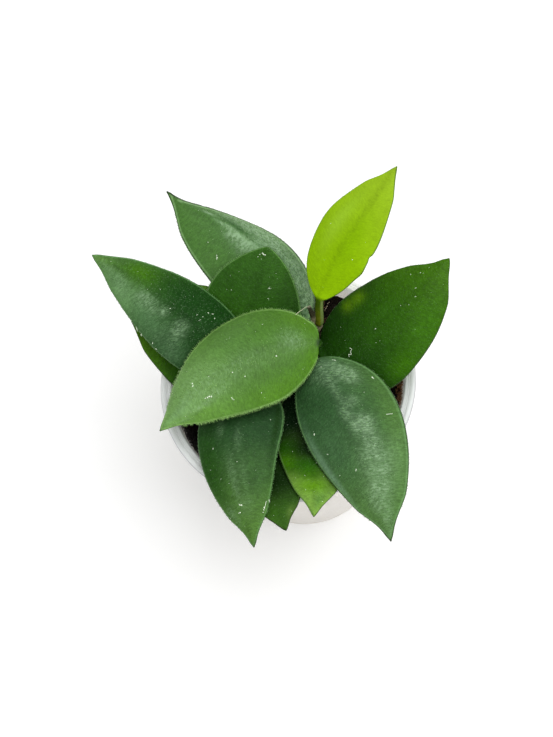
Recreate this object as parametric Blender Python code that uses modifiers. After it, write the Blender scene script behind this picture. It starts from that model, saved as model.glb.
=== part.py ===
"""A young potted hoya: eleven pointed, arched leaves on two cuttings in a milky plastic pot.

Metres, +Z up, with the origin in the middle of the pot's base. The viewer stands on the -Y side.
Sizes and places are written in millimetres and scaled by MM when a mesh is made. A leaf's left
and right are those of someone who looks from its stalk towards its tip.
"""

import math

import bmesh
import bpy
import numpy as np
from mathutils import Vector, noise

MM = 0.001
GAP = 0.3

# Pot
POT_HEIGHT = 48.0
RIM_RADIUS = 28.0
RIM_WIDTH = 2.4
RIM_BEAD = 0.7
RIM_BEAD_TURNS = (105, 66, 27, -12, -51, -90)
RIM_DEPTH = 1.7
RIM_GROOVE = 0.3
BASE_RADIUS = 18.0
BASE_CHAMFER = 1.0
WALL = 0.8
FLOOR = 1.2
FLOOR_CORNER = 0.9
SHOULDER_HEIGHT = 38.5
SHOULDER_STEP = 0.7
SHOULDER_SPAN = 0.8
WALL_SLOPE = 0.16
POT_SIDES = 56
DRAIN_HOLES = 6
DRAIN_RADIUS = 2.0
DRAIN_CIRCLE = 11.0
DRAIN_SIDES = 16
POT_COLOUR = (0.8, 0.8, 0.84)

# Soil, whose lumps are noise at two scales, given per millimetre
SOIL_HEIGHT = 43.0
SOIL_LUMP = 1.3
LUMP_SCALE = 0.16
CRUMB_SCALE = 0.42
CRUMB_SHARE = 0.45
SOIL_RINGS = 11
SOIL_SIDES = 48
SOIL_COLOUR = (0.02, 0.012, 0.008)

# Stems, as (x, y, z, radius) points from the buried foot up to the last bud
STEM_HOLE_TOP = 52.0
STEM_HOLE_SIDES = 20
STEM_COLOUR = (0.2, 0.19, 0.09)
STEMS = {
    "stem_right": {
        "foot": (8.6, 7.2, 24.0, 1.2),
        "surface": (8.7, 6.9, 45.5, 1.2),
        "low": (8.7, 6.9, 49.0, 1.4),
        "middle": (8.1, 7.0, 53.8, 1.3),
        "top": (8.9, 6.1, 58.0, 1.35),
        "bud": (8.8, 8.1, 58.7, 0.8),
        "bud_tip": (8.2, 10.5, 59.3, 0.5),
    },
    "stem_left": {
        "foot": (-3.5, 1.0, 24.0, 1.2),
        "low": (-3.5, 0.6, 45.8, 1.4),
        "middle": (-3.6, 0.5, 48.6, 1.4),
        "top": (-3.8, 0.5, 51.0, 1.3),
        "bud_tip": (-3.9, 0.5, 51.9, 0.7),
    },
}

# Leaf thickness and stalk
STALK_RADIUS = 0.85
STALK_GAP = 0.45
EDGE_THICKNESS = 0.7
BLADE_THICKNESS = 1.2
TIP_RADIUS = 0.3

# Keel and groove of the midrib: their depths, and how far across the half blade they reach
KEEL = 0.4
KEEL_REACH = 0.15
GROOVE = 0.035
GROOVE_REACH = 0.18

# Shares of the blade's length: where the stalk has become a blade, where the tip narrows and closes
BLADE_START = 0.06
TIP_NARROWS = (0.8, 0.97)
TIP_CLOSES = 0.96

# Waves along each margin, and how far out of step the two margins are
MARGIN_WAVES = 2.3
MARGIN_OFFSET = 0.23

# Steps along the stalk, along the blade and across it
STALK_STEPS = (0.0, 0.3, 0.6, 0.82)
BLADE_STEPS = (
    0.0, 0.01, 0.035, 0.08, 0.14, 0.22, 0.32, 0.43,
    0.54, 0.65, 0.75, 0.83, 0.9, 0.95, 0.985, 1.0,
)
ACROSS = (-1.0, -0.92, -0.62, -0.3, 0.0, 0.3, 0.62, 0.92, 1.0)

# Each blade runs from base to tip. arch lifts it and bow moves it to its left, at one and two thirds
# of its length. roof is the angle at which its halves fall from the midrib, and curl adds to that
# angle towards the margins. belly is where it is widest, point and taper shape its tip, skew widens
# its left half, and lobes are how far the base reaches back past the stalk on the left and right.
LEAVES = {
    "leaf_front": dict(
        stem="stem_right", node="top", out=(-1.0, -0.3, 0.1), pull=(1.4, 0.4),
        base=(8.2, -0.3, 62.5), tip=(-28.4, -8.2, 56.5), width=22.7, arch=(4.0, 3.0), bow=(-5.6, -2.4),
        roll=-4, roof=7, curl=28, belly=0.36, point=0.94, taper=0.33, skew=0.02, lobes=(2.4, 0.9),
        wave=0.3, phase=0.1,
    ),
    "leaf_left": dict(
        stem="stem_left", node="top", out=(-0.8, 0.6, 0.0), pull=(1.6, 2.0),
        base=(-9.6, 3.1, 56.8), tip=(-34.7, 33.8, 62.0), width=19.5, arch=(2.0, 2.0), bow=(-0.6, -1.3),
        roll=-3, roof=16, curl=20, belly=0.31, point=0.83, taper=0.26, skew=0.04, lobes=(0.1, 0.0),
        wave=0.3, phase=0.35,
    ),
    "leaf_back_left": dict(
        stem="stem_right", node="low", out=(-0.6, 0.8, 0.0), pull=(0.9, 1.0),
        base=(7.0, 10.2, 50.6), tip=(-15.9, 46.3, 60.0), width=22.2, arch=(1.0, 2.0), bow=(-8.8, 0.6),
        roll=9, roof=19, curl=18, belly=0.42, point=1.18, taper=0.38, skew=0.2, lobes=(0.3, 0.2),
        wave=0.3, phase=0.6,
    ),
    "leaf_back": dict(
        stem="stem_left", node="middle", out=(-0.3, 1.0, 0.0), pull=(1.6, 1.8),
        base=(-6.1, 4.8, 49.4), tip=(2.9, 24.7, 63.3), width=22.4, arch=(-1.0, -0.5), bow=(3.2, 0.5),
        roll=3, roof=5, curl=12, belly=0.41, point=0.8, taper=0.0, skew=0.03, lobes=(0.3, 0.3),
        wave=0.2, phase=0.2,
    ),
    "leaf_new": dict(
        stem="stem_right", node="top", out=(0.35, -0.2, 1.0), pull=(1.4, 1.8),
        base=(10.7, 8.2, 65.5), tip=(32.1, 24.8, 82.0), width=14.1, arch=(1.5, 1.0), bow=(1.8, 0.0),
        roll=-4, roof=2, curl=10, belly=0.41, point=0.92, taper=0.3, skew=0.09, lobes=(0.0, 0.4),
        wave=0.35, phase=0.8,
    ),
    "leaf_right": dict(
        stem="stem_right", node="low", out=(0.1, -1.0, 0.0), pull=(1.8, 1.5),
        base=(9.6, -3.2, 52.8), tip=(39.0, 9.8, 66.0), width=22.8, arch=(1.5, 2.0), bow=(0.5, -1.5),
        roll=4, roof=6, curl=15, belly=0.32, point=0.75, taper=0.35, skew=-0.05, lobes=(-0.8, 0.3),
        wave=0.3, phase=0.45,
    ),
    "leaf_front_right": dict(
        stem="stem_right", node="middle", out=(-0.8, -0.6, 0.0), pull=(1.8, 2.0),
        base=(6.4, -2.0, 58.7), tip=(12.7, -41.0, 48.0), width=22.1, arch=(3.0, 3.0), bow=(0.0, 1.0),
        roll=5, roof=8, curl=20, belly=0.36, point=0.89, taper=0.41, skew=0.15, lobes=(0.1, 0.6),
        wave=0.3, phase=0.7,
    ),
    "leaf_front_left": dict(
        stem="stem_left", node="top", out=(-0.6, -0.8, 0.0), pull=(1.6, 1.8),
        base=(-7.6, -2.3, 54.2), tip=(-15.0, -35.4, 48.8), width=19.0, arch=(2.2, 3.0), bow=(-5.5, -1.2),
        roll=5, roof=7, curl=18, belly=0.26, point=0.81, taper=0.4, skew=0.06, lobes=(2.5, 0.0),
        wave=0.3, phase=0.9,
    ),
    "leaf_front_middle": dict(
        stem="stem_left", node="middle", out=(0.9, -0.5, 0.0), pull=(1.6, 1.8),
        base=(1.3, -4.1, 51.8), tip=(-1.5, -32.4, 49.5), width=15.8, arch=(1.0, 1.0), bow=(2.3, 1.7),
        roll=2, roof=5, curl=12, belly=0.4, point=0.81, taper=0.38, skew=0.0, lobes=(0.3, 0.3),
        wave=0.2, phase=0.15,
    ),
    "leaf_front_low": dict(
        stem="stem_left", node="low", out=(-0.3, -1.0, 0.0), pull=(1.6, 1.8),
        base=(-5.5, -6.5, 46.0), tip=(-7.7, -33.9, 49.8), width=14.0, arch=(0.5, 1.0), bow=(0.0, -1.7),
        roll=-4, roof=3, curl=8, belly=0.38, point=0.7, taper=0.33, skew=0.0, lobes=(0.3, 0.3),
        wave=0.2, phase=0.55,
    ),
    "leaf_left_low": dict(
        stem="stem_left", node="low", out=(-0.8, 0.6, 0.0), pull=(1.6, 1.8),
        base=(-8.2, 7.7, 46.0), tip=(-30.8, 24.3, 50.8), width=24.8, arch=(1.6, 1.4), bow=(-4.6, -1.2),
        roll=-3, roof=1, curl=5, belly=0.39, point=0.8, taper=0.27, skew=0.21, lobes=(1.0, 0.3),
        wave=0.2, phase=0.3,
    ),
}

# Colours are linear RGB
LEAF_COLOURS = {
    "leaf_front": (0.085, 0.27, 0.03),
    "leaf_left": (0.02, 0.09, 0.012),
    "leaf_back_left": (0.06, 0.2, 0.03),
    "leaf_back": (0.025, 0.11, 0.012),
    "leaf_new": (0.27, 0.5, 0.01),
    "leaf_right": (0.015, 0.09, 0.005),
    "leaf_front_right": (0.025, 0.1, 0.02),
    "leaf_front_left": (0.025, 0.1, 0.02),
    "leaf_front_middle": (0.04, 0.16, 0.008),
    "leaf_front_low": (0.02, 0.08, 0.006),
    "leaf_left_low": (0.025, 0.1, 0.006),
}


def clear_scene():
    for item in list(bpy.data.objects):
        bpy.data.objects.remove(item)


def new_collection(name):
    collection = bpy.data.collections.new(name)
    bpy.context.scene.collection.children.link(collection)
    return collection


def material(name, colour, roughness):
    found = bpy.data.materials.new(name)
    found.use_nodes = True
    shader = found.node_tree.nodes["Principled BSDF"]
    shader.inputs["Base Color"].default_value = (*colour, 1.0)
    shader.inputs["Roughness"].default_value = roughness
    shader.inputs["Metallic"].default_value = 0.0
    found.diffuse_color = (*colour, 1.0)
    return found


def add_object(name, data, collection, look=None):
    item = bpy.data.objects.new(name, data)
    collection.objects.link(item)
    if look is not None:
        data.materials.append(look)
    return item


def smoothstep(start, end, value):
    share = np.clip((np.asarray(value, float) - start) / (end - start), 0.0, 1.0)
    return share * share * (3.0 - 2.0 * share)


def unit(vector):
    return vector / np.linalg.norm(vector, axis=-1, keepdims=True)


def cubic(points, t):
    """Points at t of the cubic curve with these four control points."""
    t = np.asarray(t, float)[:, None]
    s = 1.0 - t
    return s**3 * points[0] + 3 * s * s * t * points[1] + 3 * s * t * t * points[2] + t**3 * points[3]


def cubic_heading(points, t):
    t = np.asarray(t, float)[:, None]
    s = 1.0 - t
    first, second, third = np.diff(points, axis=0)
    return unit(s * s * first + 2 * s * t * second + t * t * third)


def wall_radius(z):
    """Outside radius of the pot's tapered wall, which steps out at the stacking shoulder."""
    return BASE_RADIUS + WALL_SLOPE * z + (SHOULDER_STEP if z > SHOULDER_HEIGHT else 0.0)


def rim_bead():
    """The rounded outer edge of the rim, from its top round to its underside."""
    centre = (RIM_RADIUS - RIM_BEAD, POT_HEIGHT - RIM_BEAD)
    turns = [math.radians(turn) for turn in RIM_BEAD_TURNS]
    return [(centre[0] + RIM_BEAD * math.cos(a), centre[1] + RIM_BEAD * math.sin(a)) for a in turns]


def pot_profile():
    """(radius, z) from the floor's middle up the inside, over the rim and down the outside."""
    mouth = RIM_RADIUS - RIM_WIDTH
    below = SHOULDER_HEIGHT - SHOULDER_SPAN / 2
    above = SHOULDER_HEIGHT + SHOULDER_SPAN / 2
    neck = POT_HEIGHT - RIM_DEPTH
    inside = [
        (0.0, FLOOR),
        (wall_radius(FLOOR) - WALL - FLOOR_CORNER, FLOOR),
        (wall_radius(FLOOR) - WALL, FLOOR + FLOOR_CORNER),
        (wall_radius(below) - WALL, below),
        (wall_radius(above) - WALL, above),
        (wall_radius(neck) - WALL, neck),
        (mouth, POT_HEIGHT - 2 * RIM_GROOVE),
        (mouth + RIM_GROOVE, POT_HEIGHT - RIM_GROOVE),
        (RIM_RADIUS - 2 * RIM_BEAD, POT_HEIGHT - RIM_GROOVE),
    ]
    outside = [
        (wall_radius(neck) + RIM_GROOVE, POT_HEIGHT - 2 * RIM_BEAD),
        (wall_radius(neck), neck),
        (wall_radius(above), above),
        (wall_radius(below), below),
        (BASE_RADIUS, BASE_CHAMFER),
        (BASE_RADIUS - 0.3 * BASE_CHAMFER, 0.3 * BASE_CHAMFER),
        (BASE_RADIUS - BASE_CHAMFER, 0.0),
        (0.0, 0.0),
    ]
    return inside + rim_bead() + outside


def hole_rod(work, radius, length, sides, place):
    """Adds an upright rod centred on place to the mesh being made."""
    radius *= MM
    made = bmesh.ops.create_cone(
        work, cap_ends=True, segments=sides, radius1=radius, radius2=radius, depth=length * MM
    )
    bmesh.ops.translate(work, verts=made["verts"], vec=place)


def drain_cutter(collection):
    mesh = bpy.data.meshes.new("drain_cutter")
    work = bmesh.new()
    for hole in range(DRAIN_HOLES):
        turn = 2 * math.pi * (hole + 0.5) / DRAIN_HOLES
        place = (DRAIN_CIRCLE * MM * math.cos(turn), DRAIN_CIRCLE * MM * math.sin(turn), 0.0)
        hole_rod(work, DRAIN_RADIUS, 4 * FLOOR, DRAIN_SIDES, place)
    work.to_mesh(mesh)
    work.free()
    return hide_cutter(add_object("drain_cutter", mesh, collection))


def hide_cutter(item):
    item.hide_render = True
    item.display_type = "WIRE"
    return item


def cut(item, cutter):
    modifier = item.modifiers.new("cut_" + cutter.name, "BOOLEAN")
    modifier.operation = "DIFFERENCE"
    modifier.object = cutter


def make_pot(parts, cutters):
    mesh = bpy.data.meshes.new("pot")
    profile = pot_profile()
    points = [(radius * MM, 0.0, z * MM) for radius, z in profile]
    mesh.from_pydata(points, [(i, i + 1) for i in range(len(points) - 1)], [])
    pot = add_object("pot", mesh, parts, material("pot_plastic", POT_COLOUR, 0.35))
    screw = pot.modifiers.new("turn", "SCREW")
    screw.steps = POT_SIDES
    screw.render_steps = POT_SIDES
    screw.use_merge_vertices = True
    screw.merge_threshold = 0.00005
    screw.use_smooth_shade = True
    cut(pot, drain_cutter(cutters))
    return pot


def soil_top(x, y):
    """Height of the lumpy soil surface at x, y."""
    lump = noise.noise(Vector((x * LUMP_SCALE, y * LUMP_SCALE, 3.7)))
    crumb = noise.noise(Vector((x * CRUMB_SCALE, y * CRUMB_SCALE, 9.1)))
    return SOIL_HEIGHT + SOIL_LUMP * (lump + CRUMB_SHARE * crumb)


def soil_sides():
    """(radius, z) of the soil's side and bottom, a gap inside the pot's wall."""
    below = SHOULDER_HEIGHT - SHOULDER_SPAN / 2
    above = SHOULDER_HEIGHT + SHOULDER_SPAN
    inset = WALL + GAP
    return [
        (wall_radius(above) - inset, above),
        (wall_radius(below) - inset, below),
        (wall_radius(FLOOR) - inset, FLOOR + FLOOR_CORNER + GAP),
        (wall_radius(FLOOR) - inset - FLOOR_CORNER, FLOOR + GAP),
    ]


def make_soil(parts, cutters):
    edge = wall_radius(SOIL_HEIGHT) - WALL - GAP - 0.2
    top = [(edge * ring / SOIL_RINGS, SOIL_HEIGHT) for ring in range(SOIL_RINGS + 1)]
    profile = top + soil_sides() + [(0.0, FLOOR + GAP)]
    work = bmesh.new()
    corners = [work.verts.new((radius, 0.0, z)) for radius, z in profile]
    edges = [work.edges.new(pair) for pair in zip(corners, corners[1:])]
    bmesh.ops.spin(
        work, geom=corners + edges, cent=(0, 0, 0), axis=(0, 0, 1), angle=2 * math.pi, steps=SOIL_SIDES
    )
    bmesh.ops.remove_doubles(work, verts=work.verts, dist=0.01)
    for corner in work.verts:
        if corner.co.z > SOIL_HEIGHT - 0.1:
            corner.co.z = soil_top(corner.co.x, corner.co.y)
    bmesh.ops.triangulate(work, faces=work.faces)
    bmesh.ops.recalc_face_normals(work, faces=work.faces)
    bmesh.ops.scale(work, vec=(MM, MM, MM), verts=work.verts)
    mesh = bpy.data.meshes.new("soil")
    work.to_mesh(mesh)
    work.free()
    soil = add_object("soil", mesh, parts, material("soil_peat", SOIL_COLOUR, 0.95))
    for name, nodes in STEMS.items():
        cut(soil, stem_hole(name, nodes, cutters))
    return soil


def stem_hole(name, nodes, collection):
    """A cylinder round the straight buried length of a stem."""
    first, second = [Vector(point[:3]) for point in list(nodes.values())[:2]]
    along = (second - first).normalized()
    start = first - along * GAP
    length = (STEM_HOLE_TOP - start.z) / along.z
    radius = nodes["foot"][3] + 2 * GAP
    mesh = bpy.data.meshes.new(name + "_hole")
    work = bmesh.new()
    hole_rod(work, radius, length, STEM_HOLE_SIDES, (0.0, 0.0, 0.0))
    work.to_mesh(mesh)
    work.free()
    hole = add_object(name + "_hole", mesh, collection)
    hole.location = (start + along * length / 2) * MM
    hole.rotation_mode = "QUATERNION"
    hole.rotation_quaternion = Vector((0, 0, 1)).rotation_difference(along)
    return hide_cutter(hole)


def make_stem(name, nodes, parts):
    """A bevelled curve through the stem's nodes, thicker at each node."""
    curve = bpy.data.curves.new(name, "CURVE")
    curve.dimensions = "3D"
    curve.bevel_depth = MM
    curve.bevel_resolution = 3
    curve.resolution_u = 5
    curve.use_fill_caps = True
    spline = curve.splines.new("BEZIER")
    spline.bezier_points.add(len(nodes) - 1)
    for knot, (x, y, z, radius) in zip(spline.bezier_points, nodes.values()):
        knot.co = (x * MM, y * MM, z * MM)
        knot.radius = radius
        knot.handle_left_type = "VECTOR" if z < SOIL_HEIGHT + SOIL_LUMP else "AUTO"
        knot.handle_right_type = "VECTOR" if z < SOIL_HEIGHT else "AUTO"
    return add_object(name, curve, parts, material(name + "_bark", STEM_COLOUR, 0.6))


def blade_half_width(leaf, t):
    """Half the blade's width at t: round at the base, widest at belly, pointed at the tip."""
    t = np.asarray(t, float)
    falling = leaf["point"]
    rising = falling * leaf["belly"] / (1.0 - leaf["belly"])
    highest = leaf["belly"] ** rising * (1.0 - leaf["belly"]) ** falling
    share = t**rising * (1.0 - t) ** falling / highest
    return leaf["width"] / 2 * share * (1.0 - leaf["taper"] * smoothstep(*TIP_NARROWS, t))


def blade_curve(leaf):
    """Control points of the midrib, and the blade's own upward direction."""
    base, tip = np.array(leaf["base"]), np.array(leaf["tip"])
    chord = tip - base
    heading = unit(chord)
    side = unit(np.cross((0.0, 0.0, 1.0), heading))
    up = np.cross(heading, side)
    lift = [4 / 3 * (arch * up + bow * side) for arch, bow in zip(leaf["arch"], leaf["bow"])]
    return np.array([base, base + chord / 3 + lift[0], tip - chord / 3 + lift[1], tip]), up


def stalk_curve(leaf, blade):
    """Control points of the stalk, from just off its stem's node to the blade's base."""
    *node, radius = STEMS[leaf["stem"]][leaf["node"]]
    out = unit(np.array(leaf["out"]))
    root = np.array(node) + out * (radius + STALK_GAP)
    first, last = leaf["pull"]
    heading = unit(blade[1] - blade[0])
    return np.array([root, root + out * first, blade[0] - heading * last, blade[0]])


def leaf_frames(leaf, stalk_steps, blade_steps):
    """Centres, headings, left directions and upward normals along the stalk and the blade."""
    blade, up = blade_curve(leaf)
    stalk = stalk_curve(leaf, blade)
    heading = cubic_heading(blade, blade_steps)
    normal = unit(up - (heading @ up)[:, None] * heading)
    side = np.cross(normal, heading)
    roll = math.radians(leaf["roll"])
    normal = normal * math.cos(roll) - side * math.sin(roll)
    stalk_heading = cubic_heading(stalk, stalk_steps)
    carried = []
    last = normal[0]
    for direction in stalk_heading[::-1]:
        last = unit(last - (last @ direction) * direction)
        carried.append(last)
    centres = np.concatenate([cubic(stalk, stalk_steps), cubic(blade, blade_steps)])
    headings = np.concatenate([stalk_heading, heading])
    normals = np.concatenate([np.array(carried[::-1]), normal])
    return centres, headings, np.cross(normals, headings), normals


def leaf_skin(leaf, stalk_steps, blade_steps, across):
    """Upper and lower points of the leaf, one row for each step and one column for each share across."""
    centres, headings, sides, normals = leaf_frames(leaf, stalk_steps, blade_steps)
    t = np.concatenate([np.zeros(len(stalk_steps)), blade_steps])[:, None]
    v = np.array(across)[None, :]
    reach = np.abs(v)
    blade = smoothstep(0.0, BLADE_START, t)
    wide = blade_half_width(leaf, t)
    half = np.sqrt(wide**2 + (STALK_RADIUS * (1.0 - blade) + TIP_RADIUS * blade) ** 2)
    fall = np.radians(leaf["roof"] + leaf["curl"] * reach / 2) * blade
    lean = np.radians(leaf["roof"] + leaf["curl"] * reach) * blade * np.sign(v)
    skew = 1.0 + leaf["skew"] * np.sign(v) * blade
    along = -np.where(v > 0, *leaf["lobes"]) * reach**2 * (wide / leaf["width"] * 2) * (1.0 - t) ** 4
    ripple = np.sin(2 * np.pi * (MARGIN_WAVES * t + MARGIN_OFFSET * np.sign(v) + leaf["phase"]))
    groove = GROOVE * wide * np.exp(-((reach / GROOVE_REACH) ** 2)) * np.sin(np.pi * t)
    drop = -np.sin(fall) * reach * half - groove + leaf["wave"] * ripple * reach**3 * np.sin(np.pi * t)
    middle = (
        centres[:, None]
        + sides[:, None] * (np.cos(fall) * v * half * skew)[..., None]
        + normals[:, None] * drop[..., None]
        + headings[:, None] * along[..., None]
    )
    face = normals[:, None] * np.cos(lean)[..., None] + sides[:, None] * np.sin(lean)[..., None]
    tip = smoothstep(TIP_CLOSES, 1.0, t)
    round_part = np.maximum(1.0 - blade, tip)
    flat = EDGE_THICKNESS / 2 + (BLADE_THICKNESS - EDGE_THICKNESS) / 2 * (1.0 - reach)
    circle = (STALK_RADIUS * (1.0 - tip) + TIP_RADIUS * tip) * np.sqrt(1.0 - reach**2)
    thick = (flat * (1.0 - round_part) + circle * round_part) * np.where(reach < 1.0, 1.0, 0.0)
    keel = KEEL * np.exp(-((reach / KEEL_REACH) ** 2)) * (1.0 - t) * blade
    return middle + face * thick[..., None], middle - face * (thick + keel)[..., None]


def leaf_faces(rows, columns):
    """Triangles of a closed leaf, with both faces split along the same diagonals."""
    ring = 2 * columns - 2

    def upper(i, j):
        return i * ring + j

    def lower(i, j):
        return i * ring + (j if j in (0, columns - 1) else ring - j)

    faces = []
    for i in range(rows - 1):
        for j in range(columns - 1):
            a, b, c, d = upper(i, j), upper(i, j + 1), upper(i + 1, j + 1), upper(i + 1, j)
            faces += [(a, d, c), (a, c, b)]
            a, b, c, d = lower(i, j), lower(i, j + 1), lower(i + 1, j + 1), lower(i + 1, j)
            faces += [(a, c, d), (a, b, c)]
    for j in range(columns - 1):
        for i, turned in ((0, 1), (rows - 1, -1)):
            quad = (upper(i, j), upper(i, j + 1), lower(i, j + 1), lower(i, j))[::turned]
            faces += [(quad[0], quad[1], quad[2]), (quad[0], quad[2], quad[3])]
    return [face for face in faces if len(set(face)) == 3]


def make_leaf(name, leaf, parts):
    upper, lower = leaf_skin(leaf, STALK_STEPS, BLADE_STEPS, ACROSS)
    rings = np.concatenate([upper, lower[:, -2:0:-1]], axis=1)
    mesh = bpy.data.meshes.new(name)
    mesh.from_pydata((rings.reshape(-1, 3) * MM).tolist(), [], leaf_faces(len(upper), len(ACROSS)))
    mesh.shade_smooth()
    return add_object(name, mesh, parts, material(name + "_skin", LEAF_COLOURS[name], 0.45))


def main():
    clear_scene()
    parts = new_collection("potted_hoya")
    cutters = new_collection("cutters")
    make_pot(parts, cutters)
    make_soil(parts, cutters)
    for name, nodes in STEMS.items():
        make_stem(name, nodes, parts)
    for name, leaf in LEAVES.items():
        make_leaf(name, leaf, parts)


main()
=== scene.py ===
"""Dresses the potted hoya and sets it under soft light, seen as in the photograph.

Sizes and places are in millimetres and scaled by MM when a mesh is made. The viewer stands on the -Y
side. On a leaf, t runs from 0 at the blade's base to 1 at its tip, and v from -1 at its right margin
to 1 at its left margin, as seen from the stalk. Colours are linear RGB.
"""

import math

import bmesh
import bpy
import numpy as np
from bpy.types import NodeSocket
from mathutils import Matrix, Vector, noise


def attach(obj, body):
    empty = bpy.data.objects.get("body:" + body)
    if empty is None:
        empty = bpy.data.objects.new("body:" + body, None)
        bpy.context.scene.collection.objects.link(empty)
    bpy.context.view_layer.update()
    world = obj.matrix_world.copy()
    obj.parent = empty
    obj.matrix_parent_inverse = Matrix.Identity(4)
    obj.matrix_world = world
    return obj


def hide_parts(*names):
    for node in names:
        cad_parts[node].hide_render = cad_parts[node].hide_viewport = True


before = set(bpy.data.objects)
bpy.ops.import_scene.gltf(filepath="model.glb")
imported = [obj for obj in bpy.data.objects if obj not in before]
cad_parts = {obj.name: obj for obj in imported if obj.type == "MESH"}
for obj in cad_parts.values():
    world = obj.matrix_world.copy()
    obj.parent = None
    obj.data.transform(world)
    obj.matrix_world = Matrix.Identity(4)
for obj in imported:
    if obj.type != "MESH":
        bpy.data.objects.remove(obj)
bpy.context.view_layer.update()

MM = 0.001
GAP = 0.3

# Camera, as its elevation, roll and distance from the middle of the pot's rim
CAMERA_ELEVATION = 66
CAMERA_ROLL = 14
CAMERA_DISTANCE = 300
FOCAL_PIXELS = 1377
FRAME_SIZE = (553, 737)
RIM_PIXEL = (287.0, 379.5)
SENSOR = 36

# Light
KEY_DIRECTION = (0.3, -0.08, 0.95)
KEY_DISTANCE = 650
KEY_SIZE = 620
KEY_WATTS = 3.8
SKY = 0.5
FLOOR_WHITE = 0.9
FLOOR_GLOW = 0.22
# How strongly the pot glows with painted light, though it is no lamp
POT_PAINTED_GLOW = 0.06

# Pot
POT_HEIGHT = 48.0
RIM_RADIUS = 28.0
RIM_WIDTH = 2.4
RIM_BEAD = 0.7
RIM_DEPTH = 1.7
RIM_GROOVE = 0.3
BASE_RADIUS = 18.0
BASE_CHAMFER = 1.0
WALL = 0.8
FLOOR = 1.2
FLOOR_CORNER = 0.9
SHOULDER_HEIGHT = 38.5
SHOULDER_STEP = 0.7
SHOULDER_SPAN = 0.8
WALL_SLOPE = 0.16
POT_SIDES = 160
DRAIN_HOLES = 6
DRAIN_RADIUS = 2.0
DRAIN_CIRCLE = 11.0

# Soil, whose lumps are noise at several scales, given per millimetre, and the bits on it
SOIL_HEIGHT = 43.0
SOIL_LUMP = 1.3
LUMP_SCALE = 0.16
CRUMB_SCALE = 0.42
CRUMB_SHARE = 0.45
BIT_SCALE = 0.9
SOIL_BITS = 0.45
SOIL_RINGS = 90
SOIL_SIDES = 220
CRUMB_SIZES = (0.25, 1.1)
WALL_BIT_REACH = 3.4
PEBBLE_STRETCH = (0.6, 1.4)
PEBBLE_KNOBS = (0.7, 1.2)

# How a coir fibre's radius changes along it
STRAND_TAPER = (1.0, 1.0, 1.0, 1.0, 1.0, 0.8, 0.4)

# Stems, as (x, y, z, radius) points from the buried foot up to the last bud
STEMS = {
    "stem_right": {
        "foot": (8.6, 7.2, 24.0, 1.2),
        "surface": (8.7, 6.9, 45.5, 1.2),
        "low": (8.7, 6.9, 49.0, 1.4),
        "middle": (8.1, 7.0, 53.8, 1.3),
        "top": (8.9, 6.1, 58.0, 1.35),
        "bud": (8.8, 8.1, 58.7, 0.8),
        "bud_tip": (8.2, 10.5, 59.3, 0.5),
    },
    "stem_left": {
        "foot": (-3.5, 1.0, 24.0, 1.2),
        "low": (-3.5, 0.6, 45.8, 1.4),
        "middle": (-3.6, 0.5, 48.6, 1.4),
        "top": (-3.8, 0.5, 51.0, 1.3),
        "bud_tip": (-3.9, 0.5, 51.9, 0.7),
    },
}

# Heights between which the right stem turns tan, and the y from which its bud stands out
NODE_BAND = (55.0, 56.5)
BUD_FROM = 8.4

# A stem's fineness, its radius between and at nodes, how its end closes, and its rough skin
STEM_STEPS = 26
STEM_SIDES = 20
STEM_WAIST = 0.86
NODE_SWELL = 0.12
NODE_SPAN = 0.12
STEM_END = (0.9, 0.7, 0.35)
STEM_ROUGHNESS = 0.14
STEM_GRAIN = (1.6, 1.6, 0.7)

# Leaf thickness, stalk, midrib, tip and margin waves
STALK_RADIUS = 0.85
STALK_GAP = 0.45
STALK_END = 0.94
EDGE_THICKNESS = 0.7
BLADE_THICKNESS = 1.2
TIP_RADIUS = 0.3
TIP_POINT = 0.1
KEEL = 0.4
KEEL_REACH = 0.15
GROOVE = 0.035
GROOVE_REACH = 0.18
BLADE_START = 0.06
TIP_NARROWS = (0.8, 0.97)
TIP_CLOSES = 0.96
MARGIN_WAVES = 2.3
MARGIN_OFFSET = 0.23
EDGE_ROUND = 0.9
PUCKER = 0.07
PUCKER_WAVES = 7

# Millimetres that the leaf map spans, and the fineness of the leaf meshes
UV_SPAN = 100.0
STALK_ROWS = 12
BLADE_ROWS = 112
COLUMNS = 55

# Strength of the pale line of painted highlight inside a margin, and its width as a share of its inset
# and at least
RIM_HIGHLIGHT_STRENGTH = 0.85
RIM_HIGHLIGHT_SHARE = 0.17
RIM_HIGHLIGHT_LEAST = 0.065

# What is added to the colour of an edge's painted shade, an underside and the hairs, with the share of the
# leaf's own colour in the first two, and the colour of the pale nap and painted sheen, whose strokes lean
# back towards the margins
EDGE_SHADE = (0.012, 0.014, 0.008)
EDGE_SHADE_SHARE = 0.3
UNDER_PALE = (0.06, 0.1, 0.035)
UNDER_SHARE = 0.7
HAIR_PALE = (0.02, 0.04, 0.015)
NAP_AND_SHEEN_COLOUR = (0.29, 0.45, 0.26)
STROKE_LEAN = 0.4

# Hairs: how far they lean forward, how many, how far out the fringe takes its direction, and sizes
HAIR_FORWARD = 0.35
FRINGE = 700
FRINGE_LEVEL = 0.85
FRINGE_RADIUS = 0.055
NAP = 5200
NAP_LENGTHS = (0.425, 1.02)
NAP_RADIUS = 0.04

# Where on a leaf dust lies, as spans of t and v, and its size, all in hundredths. Then how flat a
# flake is, how much its bits vary, how far apart they lie as a share of its size, and how crooked it is.
DUST_SPANS = ((5, 90), (-85, 85), (9, 18))
FLAKE_HEIGHT = 0.6
FLAKE_BITS = (0.6, 1.0)
FLAKE_STEPS = (0.5, 0.9)
FLAKE_TURN = 0.9

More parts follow.
